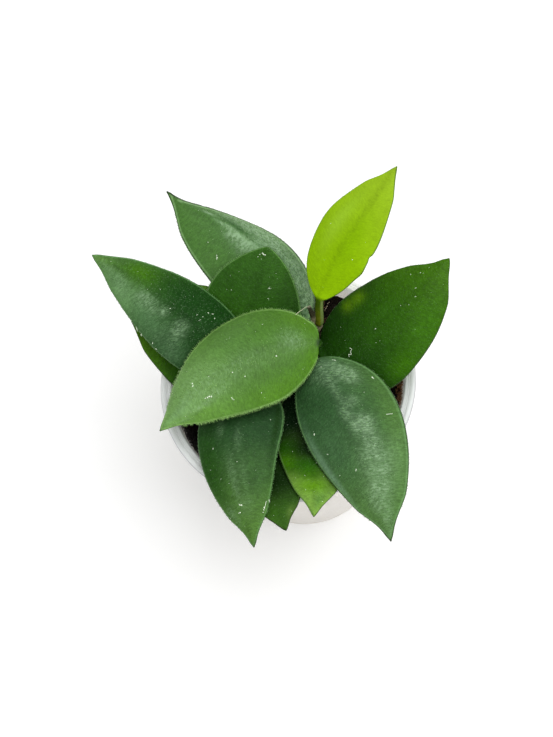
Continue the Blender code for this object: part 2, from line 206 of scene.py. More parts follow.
# Each stalk leaves its stem's node along out, and pull is how far it keeps to its headings at both ends.
# Each blade runs from base to tip. arch lifts it and bow moves it to its left, at one and two thirds
# of its length. roll tips it sideways. roof is the angle at which its halves fall from the midrib, and
# curl adds to that angle towards the margins. belly is where it is widest, point and taper shape its
# tip, skew widens its left half, and lobes are how far the base reaches back past the stalk on the left
# and right. wave is the height of its margin's waves, and phase shifts them along it.
LEAVES = {
    "leaf_front": dict(
        stem="stem_right", node="top", out=(-1.0, -0.3, 0.1), pull=(1.4, 0.4),
        base=(8.2, -0.3, 62.5), tip=(-28.4, -8.2, 56.5), width=22.7, arch=(4.0, 3.0), bow=(-5.6, -2.4),
        roll=-4, roof=7, curl=28, belly=0.36, point=0.94, taper=0.33, skew=0.02, lobes=(2.4, 0.9),
        wave=0.3, phase=0.1,
    ),
    "leaf_left": dict(
        stem="stem_left", node="top", out=(-0.8, 0.6, 0.0), pull=(1.6, 2.0),
        base=(-9.6, 3.1, 56.8), tip=(-34.7, 33.8, 62.0), width=19.5, arch=(2.0, 2.0), bow=(-0.6, -1.3),
        roll=-3, roof=16, curl=20, belly=0.31, point=0.83, taper=0.26, skew=0.04, lobes=(0.1, 0.0),
        wave=0.3, phase=0.35,
    ),
    "leaf_back_left": dict(
        stem="stem_right", node="low", out=(-0.6, 0.8, 0.0), pull=(0.9, 1.0),
        base=(7.0, 10.2, 50.6), tip=(-15.9, 46.3, 60.0), width=22.2, arch=(1.0, 2.0), bow=(-8.8, 0.6),
        roll=9, roof=19, curl=18, belly=0.42, point=1.18, taper=0.38, skew=0.2, lobes=(0.3, 0.2),
        wave=0.3, phase=0.6,
    ),
    "leaf_back": dict(
        stem="stem_left", node="middle", out=(-0.3, 1.0, 0.0), pull=(1.6, 1.8),
        base=(-6.1, 4.8, 49.4), tip=(2.9, 24.7, 63.3), width=22.4, arch=(-1.0, -0.5), bow=(3.2, 0.5),
        roll=3, roof=5, curl=12, belly=0.41, point=0.8, taper=0.0, skew=0.03, lobes=(0.3, 0.3),
        wave=0.2, phase=0.2,
    ),
    "leaf_new": dict(
        stem="stem_right", node="top", out=(0.35, -0.2, 1.0), pull=(1.4, 1.8),
        base=(10.7, 8.2, 65.5), tip=(32.1, 24.8, 82.0), width=14.1, arch=(1.5, 1.0), bow=(1.8, 0.0),
        roll=-4, roof=2, curl=10, belly=0.41, point=0.92, taper=0.3, skew=0.09, lobes=(0.0, 0.4),
        wave=0.35, phase=0.8,
    ),
    "leaf_right": dict(
        stem="stem_right", node="low", out=(0.1, -1.0, 0.0), pull=(1.8, 1.5),
        base=(9.6, -3.2, 52.8), tip=(39.0, 9.8, 66.0), width=22.8, arch=(1.5, 2.0), bow=(0.5, -1.5),
        roll=4, roof=6, curl=15, belly=0.32, point=0.75, taper=0.35, skew=-0.05, lobes=(-0.8, 0.3),
        wave=0.3, phase=0.45,
    ),
    "leaf_front_right": dict(
        stem="stem_right", node="middle", out=(-0.8, -0.6, 0.0), pull=(1.8, 2.0),
        base=(6.4, -2.0, 58.7), tip=(12.7, -41.0, 48.0), width=22.1, arch=(3.0, 3.0), bow=(0.0, 1.0),
        roll=5, roof=8, curl=20, belly=0.36, point=0.89, taper=0.41, skew=0.15, lobes=(0.1, 0.6),
        wave=0.3, phase=0.7,
    ),
    "leaf_front_left": dict(
        stem="stem_left", node="top", out=(-0.6, -0.8, 0.0), pull=(1.6, 1.8),
        base=(-7.6, -2.3, 54.2), tip=(-15.0, -35.4, 48.8), width=19.0, arch=(2.2, 3.0), bow=(-5.5, -1.2),
        roll=5, roof=7, curl=18, belly=0.26, point=0.81, taper=0.4, skew=0.06, lobes=(2.5, 0.0),
        wave=0.3, phase=0.9,
    ),
    "leaf_front_middle": dict(
        stem="stem_left", node="middle", out=(0.9, -0.5, 0.0), pull=(1.6, 1.8),
        base=(1.3, -4.1, 51.8), tip=(-1.5, -32.4, 49.5), width=15.8, arch=(1.0, 1.0), bow=(2.3, 1.7),
        roll=2, roof=5, curl=12, belly=0.4, point=0.81, taper=0.38, skew=0.0, lobes=(0.3, 0.3),
        wave=0.2, phase=0.15,
    ),
    "leaf_front_low": dict(
        stem="stem_left", node="low", out=(-0.3, -1.0, 0.0), pull=(1.6, 1.8),
        base=(-5.5, -6.5, 46.0), tip=(-7.7, -33.9, 49.8), width=14.0, arch=(0.5, 1.0), bow=(0.0, -1.7),
        roll=-4, roof=3, curl=8, belly=0.38, point=0.7, taper=0.33, skew=0.0, lobes=(0.3, 0.3),
        wave=0.2, phase=0.55,
    ),
    "leaf_left_low": dict(
        stem="stem_left", node="low", out=(-0.8, 0.6, 0.0), pull=(1.6, 1.8),
        base=(-8.2, 7.7, 46.0), tip=(-30.8, 24.3, 50.8), width=24.8, arch=(1.6, 1.4), bow=(-4.6, -1.2),
        roll=-3, roof=1, curl=5, belly=0.39, point=0.8, taper=0.27, skew=0.21, lobes=(1.0, 0.3),
        wave=0.2, phase=0.3,
    ),
}

# How each leaf looks. Its colours are in thousandths: base and tip at its two ends, rim on the pale line of
# painted highlight that lies inside its right and left margin by so many millimetres, and stalk near the
# blade, at its foot and on its right side. finish is its gloss, how curly its painted sheen is and how
# coarse its mottling. Its edge has a dark outline of painted shade: how dark that is, and how far it
# reaches in from the right and left. fuzz is the length and the number of its hairs. Soft spots are in
# hundredths: patches of its own tone and of painted light and shade as (t, v, reach in t, reach in v,
# colour, strength), spots of its pale nap and painted sheen likewise without a colour, and flakes, called
# crumbs, as (t, v, size, bits). dents are bites out of a margin as (t, side, depth, reach in t), and a
# negative depth is a bulge. ribbed and dotted are how strong its midrib's ticks and its fine dots are,
# dust is its number of small specks, and last comes the span of v over which its nap and painted sheen
# begin.
PLAIN_LOOK = dict(
    slot="leaf_dark", stalk=((12, 24, 4), (12, 24, 4), (12, 24, 4)), finish=(0.06, 0.3, 1.0),
    fuzz=(0.15, 0.3), edge_shade=(0.8, 0.26, 0.26), ribbed=0.3, dotted=0.1, dust=20, nap_and_sheen_from=(-3.0, -2.0),
    tone_light_shade_patches=(), nap_and_sheen_spots=(), dents=(), crumbs=(),
)
LOOKS = {
    "leaf_front": dict(
        slot="leaf_green", base=(64, 176, 18), tip=(168, 340, 88), finish=(0.16, 0.3, 0.8),
        fuzz=(0.6, 1.7), rim=((270, 490, 130), 0.6, 0.35), edge_shade=(0.0, 0.1, 0.1),
        stalk=((12, 50, 3), (12, 50, 3), (12, 50, 3)),
        # The dark spot at the blade's base is painted shade, and the pale bluish patches towards the tip
        # are painted sheen.
        tone_light_shade_patches=(
            (0, 30, 10, 120, (75, 210, 6), 90), (0, 0, 1.2, 45, (10, 25, 3), 100),
            (30, 85, 30, 30, (85, 230, 10), 85), (75, 90, 20, 25, (105, 260, 25), 70),
            (35, -75, 30, 30, (64, 165, 18), 85), (8, -80, 8, 40, (75, 200, 8), 80),
            (30, 20, 20, 40, (68, 178, 20), 60), (70, -30, 18, 50, (140, 300, 66), 80),
            (40, -50, 12, 35, (90, 215, 42), 70), (86, 12, 10, 22, (190, 370, 130), 70),
            (78, 60, 14, 18, (125, 300, 32), 75), (80, 55, 3.5, 5, (70, 170, 30), 60),
            (86, 68, 3.5, 5, (70, 170, 30), 60), (92, 80, 3.5, 6, (70, 170, 30), 50),
            (100, 0, 3.5, 150, (60, 150, 30), 80), (92, -100, 14, 9, (30, 80, 12), 90),
            (94, 100, 8, 9, (30, 80, 12), 90),
        ),
        nap_and_sheen_spots=(
            (12, -10, 7, 25, 60), (45, 10, 22, 25, 35), (72, -10, 14, 50, 40), (90, 62, 7, 10, 50),
            (77, 42, 8, 9, 50), (63, 36, 6, 7, 40),
        ),
        crumbs=(
            (71, -16, 50, 3), (70, 30, 50, 4), (44, 34, 55, 1), (49, 16, 36, 1), (22, 21, 40, 1),
            (40, 73, 42, 1), (58, 64, 36, 3), (61, -5, 26, 1), (25, -52, 20, 1),
        ),
    ),
    "leaf_left": dict(
        base=(7, 45, 4), tip=(45, 140, 18), finish=(0.06, 0.25, 1.0), fuzz=(0.25, 0.3),
        rim=((150, 330, 110), 0.6, 0.2), dotted=0.2, nap_and_sheen_from=(0.0, 0.09),
        # The dark patch on its right half is painted shade, and the pale patches on its left half are
        # painted sheen.
        tone_light_shade_patches=(
            (73, -32, 12, 48, (46, 150, 1), 100), (83, 0, 6, 4, (20, 60, 10), 60),
            (93, 0, 4, 7, (30, 80, 15), 60), (96, 0, 10, 100, (120, 265, 55), 90),
            (88, -50, 10, 40, (60, 150, 30), 70), (74, 65, 20, 45, (140, 285, 105), 90),
            (52, 65, 14, 40, (70, 165, 60), 80), (30, 75, 12, 35, (42, 110, 38), 80),
            (40, -40, 20, 50, (8, 48, 5), 90),
        ),
        nap_and_sheen_spots=(
            (88, 20, 6, 30, 45), (77, 35, 7, 30, 50), (61, 27, 5, 22, 90), (53, 30, 3.5, 22, 55),
            (47, 20, 2.5, 12, 80), (42, 60, 5, 30, 20), (34, 30, 4, 25, 90), (30, 80, 6, 25, 20),
        ),
        crumbs=(
            (32, -21, 22, 2), (29, -26, 20, 2), (29, -44, 22, 3), (27, -49, 22, 3), (24, -44, 20, 2),
            (29, -12, 28, 3), (41, -55, 16, 1), (45, 5, 20, 2), (42, 93, 26, 3), (38, 95, 24, 2),
            (51, 97, 28, 4), (56, 97, 28, 5), (61, 97, 22, 2),
        ),
    ),
    "leaf_back_left": dict(
        slot="leaf_green", base=(45, 120, 35), tip=(70, 180, 34), finish=(0.1, 0.8, 0.85), fuzz=(0.3, 0.6),
        rim=((230, 410, 160), 1.8, 0.55), edge_shade=(0.95, 1.6, 0.36),
        # The pale patches along the midrib are a painted highlight on its ridge.
        tone_light_shade_patches=(
            (50, 65, 50, 60, (66, 172, 30), 90), (63, -38, 5, 13, (22, 90, 12), 95),
            (58, -25, 3.5, 9, (22, 90, 12), 90), (30, -78, 4, 15, (25, 90, 8), 90),
            (34, -55, 6, 12, (30, 100, 12), 80), (50, -80, 25, 30, (78, 200, 36), 80),
            (66, -15, 4.5, 5, (170, 320, 140), 75), (59, -6, 4, 5, (200, 360, 160), 80),
            (53, 0, 4, 5.5, (210, 370, 170), 80), (47, 2, 4, 6, (200, 360, 160), 70),
        ),
        nap_and_sheen_spots=(
            (75, -33, 4, 8, 100), (65, -13, 5, 8, 120), (59, 0, 4.5, 10, 140), (52, 5, 5, 15, 110),
            (54, -62, 9, 25, 110), (44, -45, 7, 40, 110), (36, -40, 4, 30, 50), (28, -40, 5, 35, 75),
            (18, -22, 6, 45, 90), (10, -30, 7, 60, 95), (68, -68, 6, 18, 70),
        ),
        dents=((0.815, -1, 0.08, 0.008),),
        crumbs=((60, 58, 36, 4), (68, 44, 20, 2), (70, 20, 14, 1)),
    ),
    "leaf_back": dict(
        base=(18, 72, 6), tip=(34, 115, 11), finish=(0.08, 0.3, 1.0), fuzz=(0.35, 1.0),
        rim=((160, 340, 90), 0.3, 0.32), edge_shade=(0.5, 0.2, 0.2),
        tone_light_shade_patches=((35, 0, 25, 100, (25, 104, 3), 80),),
        crumbs=((93, 3, 34, 4), (67, -29, 26, 3), (92, 35, 20, 2), (58, -27, 18, 3)),
    ),
    # Its bright yellow-green is the young leaf's own colour together with painted light passing through it.
    "leaf_new": dict(
        slot="leaf_new_green", base=(255, 475, 1), tip=(290, 475, 16), finish=(0.04, 0.3, 0.38),
        fuzz=(0.12, 0.3), rim=((200, 360, 50), 0.1, 0.1), ribbed=0.34, dotted=0.0, dust=4,
        stalk=((32, 78, 1), (170, 200, 10), (160, 230, 60)),
        tone_light_shade_patches=((42, -20, 22, 33, (220, 430, 1), 85), (52, 50, 20, 22, (300, 520, 24), 80)),
        dents=((0.3, -1, -0.08, 0.06), (0.42, -1, 0.05, 0.02), (0.9, 1, 0.03, 0.03)),
        crumbs=((35, -54, 22, 1),),
    ),
    "leaf_right": dict(
        base=(10, 50, 2), tip=(50, 150, 4), rim=((100, 200, 50), 0.05, 0.1), dust=9,
        tone_light_shade_patches=(
            (38, 80, 8, 20, (35, 120, 1), 90), (41.5, 78, 4.5, 14, (100, 220, 1), 95),
            (33.5, 78, 3.5, 13, (100, 210, 1), 90), (50, 0, 25, 50, (26, 106, 2), 70),
            (72, 0, 10, 100, (34, 115, 3), 60), (38, -85, 12, 28, (40, 150, 1), 85),
            (62, -75, 15, 35, (42, 160, 2), 70),
        ),
        dents=((0.93, 1, 0.04, 0.012),),
        crumbs=(
            (20, -54, 42, 1), (74, 7, 16, 4), (70, -7, 15, 4), (60, 0, 16, 2), (39, -1, 20, 2),
            (20, 25, 14, 1), (77, 55, 20, 3), (83, 35, 16, 2), (88, 50, 14, 2), (64, -10, 16, 2),
        ),
    ),
    "leaf_front_right": dict(
        base=(22, 74, 19), tip=(92, 205, 50), finish=(0.08, 0.3, 1.0), fuzz=(0.28, 0.25),
        rim=((150, 310, 110), 0.6, 0.62), edge_shade=(0.95, 0.5, 0.42),
        # The pale bluish line along its right margin is a painted highlight.
        tone_light_shade_patches=(
            (40, 85, 35, 30, (75, 175, 35), 85), (25, 50, 12, 25, (45, 120, 30), 70),
            (48, -45, 18, 40, (50, 126, 45), 80), (10, -70, 15, 50, (18, 62, 16), 80),
            (96, 0, 5, 150, (100, 220, 60), 60), (55, -86, 20, 9, (190, 340, 200), 60),
            (65, 72, 12, 20, (125, 260, 80), 70),
        ),
        nap_and_sheen_spots=(
            (20, 12, 10, 8, 35), (36, 14, 6, 8, 40), (13, 50, 5.5, 15, 160), (8, 20, 7, 50, 50),
            (28, 28, 3, 12, 60), (32, 7, 4, 8, 40), (41, 29, 4.5, 15, 160), (50, 30, 6, 16, 70),
            (61, 28, 8, 28, 110), (66, 30, 3, 14, 90), (75, 12, 6, 33, 110), (82, -15, 3, 22, 40),
            (88, 20, 6, 30, 60),
        ),
        crumbs=(
            (35, -70, 34, 2), (61, -21, 34, 2), (4, 62, 32, 3), (21, 85, 30, 3), (47, -64, 20, 2),
            (26, 54, 18, 2), (60, -65, 18, 1), (47, 20, 18, 1), (32, 40, 16, 1),
        ),
    ),
    "leaf_front_left": dict(
        base=(20, 66, 18), tip=(84, 195, 33), fuzz=(0.25, 0.45), rim=((120, 260, 85), 0.3, 0.38),
        tone_light_shade_patches=(
            (50, -75, 25, 35, (14, 64, 4), 90), (25, 84, 30, 7, (9, 42, 3), 85),
            (60, 50, 12, 50, (34, 96, 24), 60),
        ),
        nap_and_sheen_spots=(
            (28, -36, 6, 10, 30), (35, 7, 8, 8, 25), (58, -12, 13, 12, 45), (55, 16, 10, 10, 25),
            (80, -60, 6, 25, 40), (75, 5, 6, 25, 25),
        ),
        crumbs=(
            (79, 80, 36, 4), (39, -54, 24, 2), (49, 4, 20, 1), (74, -16, 34, 4), (79, -30, 28, 3),
            (75, -97, 24, 2), (76, 94, 30, 3), (82, 76, 20, 2), (18, 69, 18, 2),
        ),
    ),
    # Its dark base half is painted shade from the leaves above it, and its bright yellow-green patches are
    # painted light.
    "leaf_front_middle": dict(
        base=(2, 10, 2), tip=(210, 400, 62), finish=(0.03, 0.3, 0.8), rim=((110, 230, 50), 0.4, 0.1),
        tone_light_shade_patches=(
            (50, 0, 14, 150, (2, 14, 1), 98), (61, 0, 5, 150, (8, 60, 1), 85),
            (66, -20, 7, 50, (22, 110, 1), 90), (45, -85, 8, 35, (12, 70, 1), 80),
            (58, -85, 8, 30, (45, 165, 1), 85), (78, -5, 5.5, 70, (105, 280, 2), 90),
            (70, -10, 3.5, 35, (36, 130, 1), 70), (66, 70, 13, 40, (5, 36, 2), 90),
            (88, 30, 5, 40, (75, 200, 30), 70),
        ),
        crumbs=((70, -34, 16, 2), (89, 62, 16, 1)),
    ),
    # Its dark base half is painted shade from the leaves above it.
    "leaf_front_low": dict(
        base=(2, 10, 1), tip=(40, 115, 12), finish=(0.03, 0.3, 0.8), rim=((60, 120, 20), 0.15, 0.3),
        tone_light_shade_patches=(
            (60, 0, 15, 150, (3, 16, 1), 90), (87, 68, 5, 25, (90, 170, 30), 80),
            (84, -30, 6, 40, (30, 100, 6), 70),
        ),
        crumbs=((90, 20, 14, 1),),
    ),
    "leaf_left_low": dict(
        base=(13, 82, 1), tip=(75, 200, 8), finish=(0.05, 0.3, 1.0), rim=((60, 140, 30), 0.1, 0.1),
        tone_light_shade_patches=((50, -90, 12, 20, (130, 290, 35), 100),),
    ),
}

# Noises in a leaf's skin, as the place that each follows, scale, detail, roughness and distortion
LEAF_NOISES = {
    "mottle": ("flat", 0.35, 3.0, 0.6),
    "blotch": ("flat", 1.3, 3.0, 0.65),
    "pores": ("flat", 5.0, 2.0, 0.7),
    "curls": ("flat", 1.5, 3.0, 0.65, 0.6),
    "dots": ("flat", 4.2, 1.0),
    "strokes": ("slanted", 1.0, 2.0, 0.6, 0.7),
    "ripple": ("slanted", 0.3, 2.0, 0.5, 0.5),
    "ticks": ("ticked", 2.4, 1.0),
}

# Noises that shade the skin, as (noise, strength, its low and high end, brightness at the low end)
LEAF_MOTTLING = (
    ("mottle", 0.16, 0.25, 0.75, 0.35),
    ("blotch", 0.14, 0.3, 0.7, 0.4),
    ("strokes", 0.26, 0.32, 0.68, 0.4),
    ("pores", 0.32, 0.3, 0.75, 0.5),
)

# Stray white fibres lying on leaves, as (t, v) points, how far they lie above the blade, and their radius
FIBRES = {
    "leaf_right": ((0.155, -0.06), (0.165, -0.01), (0.175, -0.06), (0.185, 0.0), (0.2, 0.0), (0.195, 0.06)),
    "leaf_front_right": ((0.41, 0.7), (0.415, 0.76), (0.42, 0.82)),
    "leaf_front_left": ((0.76, 0.83), (0.785, 0.81), (0.8, 0.78)),
}
FIBRE_LIFT = 0.1
FIBRE_RADIUS = 0.055

# A cream fibre that hangs over the right stem's bud
STEM_FIBRE = ((8.4, 9.3, 60.9), (7.6, 9.1, 61.9), (6.8, 8.4, 62.4), (5.8, 7.9, 62.7), (5.0, 7.4, 62.6))
STEM_FIBRE_RADIUS = 0.06


def smoothstep(start, end, value):
    share = np.clip((value - start) / (end - start), 0, 1)
    return share * share * (3 - 2 * share)


def unit(vector):
    return vector / np.linalg.norm(vector, axis=-1, keepdims=True)


def bell(value):
    """1 at 0, and falling off on both sides of it."""
    return np.exp(-(value**2))


def cubic(points, t):
    """Points and headings at t of the cubic curve with these four control points."""
    t = t[:, None]
    s = 1 - t
    first, second, third = np.diff(points, axis=0)
    places = s**3 * points[0] + 3 * s * s * t * points[1] + 3 * s * t * t * points[2] + t**3 * points[3]
    return places, unit(s * s * first + 2 * s * t * second + t * t * third)


def evened(points, steps, weights):
    """Values at fractional steps along a row of points, averaged with these weights."""
    points = np.asarray(points, float)
    fine = np.array([np.interp(steps, np.arange(len(points)), column) for column in points.T]).T
    reach = len(weights) // 2
    padded = np.pad(fine, ((reach, reach), (0, 0)), "edge")
    return np.array([np.convolve(column, weights / weights.sum(), "valid") for column in padded.T]).T


def polar(radius, turn):
    return radius * math.cos(turn), radius * math.sin(turn)


def tint(thousandths):
    return np.array(thousandths) / 1000


def mix(colour, other, share):
    share = np.clip(share, 0, 1)[..., None]
    return colour * (1 - share) + other * share


# Materials


def new_material(name):
    """A material, its node tree and its Principled shader."""
    made = bpy.data.materials.new(name)
    made.use_nodes = True
    return made, made.node_tree, made.node_tree.nodes["Principled BSDF"]


def fill(node, inputs):
    """Links sockets to a node's inputs, and sets plain values and colours on them."""
    for name, value in inputs.items():
        socket = node.inputs[name]
        if isinstance(value, NodeSocket):
            node.id_data.links.new(value, socket)
        else:
            socket.default_value = (*value, 1.0) if socket.type == "RGBA" else value


def add(kind, inputs, output=0, tree=None, **settings):
    """Adds a shader node where its inputs come from, and returns one of its outputs."""
    tree = tree or next(value.id_data for value in inputs.values() if isinstance(value, NodeSocket))
    made = tree.nodes.new("ShaderNode" + kind)
    for name, value in settings.items():
        setattr(made, name, value)
    fill(made, inputs)
    return made.outputs[output]


def times(first, factor, more=0.0):
    """first times factor, plus more."""
    return add("Math", {0: first, 1: factor, 2: more}, operation="MULTIPLY_ADD")


def grain(place, scale, detail=3.0, roughness=0.55, distortion=0.0):
    """Noise at place, from 0 to 1."""
    look = {"Scale": scale, "Detail": detail, "Roughness": roughness, "Distortion": distortion}
    return add("TexNoise", {"Vector": place, **look})


def spread(value, low, high, to_low=0.0, to_high=1.0):
    """Maps value from low..high to the other range, smoothly and clamped."""
    span = {"From Min": low, "From Max": high, "To Min": to_low, "To Max": to_high}
    return add("MapRange", {"Value": value, **span}, interpolation_type="SMOOTHSTEP")


def blend(share, first, second, kind="MIX"):
    return add("MixRGB", {"Fac": share, "Color1": first, "Color2": second}, blend_type=kind)


def grey(value):
    return (value, value, value)


def axis(place, number):
    """One coordinate of place."""
    return add("SeparateXYZ", {0: place}, number)


def bump(height, strength, depth):
    """A bump from a height of 0 to 1 that stands for depth in millimetres."""
    return add("Bump", {"Strength": strength, "Distance": depth * MM, "Height": height})


def scaled(place, factor):
    return add("VectorMath", {0: place, "Scale": factor}, operation="SCALE")


def millimetres(tree):
    """The place on the object in millimetres."""
    return scaled(add("TexCoord", {}, "Object", tree), 1 / MM)


def squeezed(place, *factors):
    return add("Mapping", {"Vector": place, "Scale": factors})


def leaf_noises(tree, seed):
    """Distance from the midrib in millimetres, and the noises of a leaf's skin."""
    place = scaled(add("UVMap", {}, tree=tree, uv_map="leaf_mm"), UV_SPAN)
    over, along = axis(place, 0), axis(place, 1)
    reach = add("Math", {0: over}, operation="ABSOLUTE")
    lean = times(reach, -STROKE_LEAN, along)
    places = {
        "flat": add("CombineXYZ", {0: over, 1: along, 2: float(seed)}),
        "slanted": add("CombineXYZ", {0: times(over, 1.15), 1: times(lean, 2.7), 2: float(seed)}),
        "ticked": add("CombineXYZ", {0: times(over, 0.45), 1: lean}),
    }
    return reach, {name: grain(places[kind], *values) for name, (kind, *values) in LEAF_NOISES.items()}


def leaf_material(name, seed, look):
    """Waxy skin: painted colour with mottling, pale strokes of nap and painted sheen, fine dots and a
    ticked midrib.
    """
    gloss, sheen_curl, coarse = look["finish"]
    skin, tree, shader = new_material(name)
    reach, noises = leaf_noises(tree, seed)
    shade = grey(1.0)
    for kind, share, low, high, dark in LEAF_MOTTLING:
        shade = blend(share * coarse, shade, spread(noises[kind], low, high, dark, 1.6), "MULTIPLY")
    rib = times(spread(reach, 0.1, 1.1, 1.0, 0.0), spread(noises["ticks"], 0.45, 0.62, 0.4, 1.0))
    shade = blend(times(rib, look["ribbed"]), shade, grey(0.5), "MULTIPLY")
    colour = blend(1.0, add("VertexColor", {}, tree=tree, layer_name="paint"), shade, "MULTIPLY")
    lines = times(spread(noises["strokes"], 0.47, 0.58), spread(noises["blotch"], 0.34, 0.54, 0.25, 1.0))
    patchy = blend(sheen_curl, lines, spread(noises["curls"], 0.43, 0.54))
    patchy = times(patchy, spread(noises["ripple"], 0.34, 0.56, 0.5, 1.0))
    # Pale streaky strokes that stand for the hairy nap and for painted sheen, as strong as the painted
    # attribute says
    nap_and_sheen = add("Attribute", {}, "Fac", tree, attribute_name="nap_and_sheen")
    nap_and_sheen_mix = times(nap_and_sheen, times(patchy, 0.68, 0.18))
    dots = spread(noises["dots"], 0.6, 0.7, 0.0, look["dotted"])
    colour = blend(add("Math", {0: nap_and_sheen_mix, 1: dots}, operation="MAXIMUM"), colour, NAP_AND_SHEEN_COLOUR)
    relief = times(noises["pores"], 0.5, times(noises["blotch"], 0.8, noises["strokes"]))
    fill(shader, {"Base Color": colour, "Normal": bump(relief, 0.6, 0.09), "Roughness": 0.46})
    fill(shader, {"Specular IOR Level": gloss})
    return skin


def plain_material(name, colour, roughness, specks=0.25):
    """A small piece's matt material with grained colour."""
    made, tree, shader = new_material(name)
    shade = spread(grain(millimetres(tree), 3.0), 0.3, 0.7, 1.0 - specks, 1.0 + specks)
    fill(shader, {"Base Color": blend(1.0, tuple(colour), shade, "MULTIPLY"), "Roughness": roughness})
    return made


def pot_material():
    """Milky plastic with a bluish rim, a darker outermost edge of painted shade and a warmer wall, and a
    painted glow that grows towards the back.
    """
    made, tree, shader = new_material("pot_plastic")
    place = millimetres(tree)
    cloud = grain(place, 0.09)
    scuffs = grain(squeezed(place, 1.0, 1.0, 0.12), 2.5, 4.0, 0.7)
    neck = POT_HEIGHT - RIM_DEPTH
    level = add("VectorMath", {0: place, 1: (1.0, 1.0, 0.0)}, operation="MULTIPLY")
    radius = add("VectorMath", {0: level}, 1, operation="LENGTH")
    # The darker outermost edge is painted shade.
    edge = spread(radius, RIM_RADIUS - 0.3, RIM_RADIUS - 0.05, 0.0, 0.8)
    colour = blend(spread(cloud, 0.3, 0.7), (0.675, 0.64, 0.585), (0.7, 0.665, 0.61))
    colour = blend(spread(axis(place, 2), neck - 0.6, neck + 0.4), colour, (0.68, 0.71, 0.7))
    colour = blend(edge, colour, (0.34, 0.34, 0.36))
    # A painted glow of light through the plastic, stronger towards the back
    painted_glow = spread(axis(place, 1), 8.0, 22.0, POT_PAINTED_GLOW, 6 * POT_PAINTED_GLOW)
    fill(shader, {"Base Color": colour, "Normal": bump(times(scuffs, 0.1, cloud), 0.12, 0.2)})
    fill(shader, {"Roughness": spread(scuffs, 0.3, 0.7, 0.28, 0.4), "Specular IOR Level": 0.3})
    fill(shader, {"Subsurface Weight": 0.5, "Subsurface Radius": grey(1.0), "Subsurface Scale": 2.5 * MM})
    fill(shader, {"Emission Color": (1.0, 0.95, 0.9), "Emission Strength": painted_glow})
    return made


def soil_material():
    """Damp peat, nearly black, with brown fibrous patches."""
    made, tree, shader = new_material("soil_peat")
    place = millimetres(tree)
    clods = grain(place, 0.55, 4.0, 0.65)
    bits = grain(place, 3.2, 4.0, 0.7)
    colour = blend(spread(bits, 0.35, 0.7), (0.004, 0.0034, 0.0032), (0.024, 0.016, 0.012))
    colour = blend(times(spread(clods, 0.56, 0.7), 0.3), colour, (0.075, 0.032, 0.014))
    relief = bump(times(bits, 0.5, clods), 0.9, 0.5)
    fill(shader, {"Base Color": colour, "Normal": relief, "Roughness": 0.92, "Specular IOR Level": 0.08})
    return made


def bark_material():
    """Olive-brown bark with fine lengthwise fibres, tan at the node and cream at the bud's tip."""
    made, tree, shader = new_material("stem_bark")
    place = millimetres(tree)
    fibres = grain(squeezed(place, 3.0, 3.0, 0.6), 1.6, 4.0, 0.7)
    depth = axis(place, 1)
    brown = blend(spread(fibres, 0.35, 0.65), (0.016, 0.017, 0.006), (0.05, 0.045, 0.018))
    node = blend(spread(fibres, 0.3, 0.7), (0.13, 0.12, 0.055), (0.3, 0.27, 0.17))
    colour = blend(spread(axis(place, 2), *NODE_BAND), brown, node)
    colour = blend(spread(depth, BUD_FROM - 1.6, BUD_FROM - 0.4), colour, brown)
    colour = blend(spread(depth, BUD_FROM + 1.2, BUD_FROM + 2.2), colour, (0.5, 0.47, 0.33))
    relief = bump(fibres, 0.7, 0.15)
    fill(shader, {"Base Color": colour, "Normal": relief, "Roughness": 0.6, "Specular IOR Level": 0.15})
    return made


# Mesh helpers


def put(name, data):
    """An object in the scene with this data."""
    made = bpy.data.objects.new(name, data)
    bpy.context.scene.collection.objects.link(made)
    return made


def mesh_object(name, points, faces, material):
    """A smooth mesh object from points in millimetres."""
    mesh = bpy.data.meshes.new(name)
    mesh.from_pydata((np.asarray(points, float) * MM).tolist(), [], faces)
    mesh.materials.append(material)
    mesh.shade_smooth()
    return put(name, mesh)


def dress(made, slot, *nodes):
    """The piece belongs to the object and stands for these nodes; slot is not used."""
    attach(made, "root")
    if nodes:
        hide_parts(*nodes)


def ring_faces(rings, sides):
    """Quads between rings of points that follow one another."""
    faces = []
    for low in range(0, (rings - 1) * sides, sides):
        for side in range(sides):
            after = (side + 1) % sides
            faces.append((low + side, low + after, low + sides + after, low + sides + side))
    return faces


def tube(points, radii, sides=7):
    """Points and faces of a round tube with closed ends through these points."""
    points = np.asarray(points, float)
    heading = unit(np.gradient(points, axis=0))
    guide = np.where(np.abs(heading[:, 2:3]) > 0.9, (1.0, 0.0, 0.0), (0.0, 0, 1))
    side = unit(np.cross(guide, heading))
    up = np.cross(heading, side)
    turns = np.linspace(0, 2 * np.pi, sides, endpoint=False)[None, :, None]
    ring = side[:, None] * np.cos(turns) + up[:, None] * np.sin(turns)
    corners = points[:, None] + ring * np.asarray(radii, float)[:, None, None]
    last = (len(points) - 1) * sides
    ends = [tuple(range(sides))[::-1], tuple(range(last, last + sides))]
    return corners.reshape(-1, 3), ring_faces(len(points), sides) + ends


def gather(parts):
    """Joins several (points, faces) into one."""
    faces, offset = [], 0
    for corners, sides in parts:
        faces += [tuple(index + offset for index in face) for face in sides]
        offset += len(corners)
    return np.concatenate([corners for corners, _ in parts]), faces


def make_piece(name, parts, material, slot, *nodes):
    """A dressed piece from several (points, faces)."""
    dress(mesh_object(name, *gather(parts), material), slot, *nodes)


def scatter(name, material, count, seed, bit, *values):
    """A piece of many small bits in the soil, each made and placed by bit."""
    rng = np.random.default_rng(seed)
    make_piece(name, [bit(rng, *values) for _ in range(count)], material, "peat")


# Pot and soil


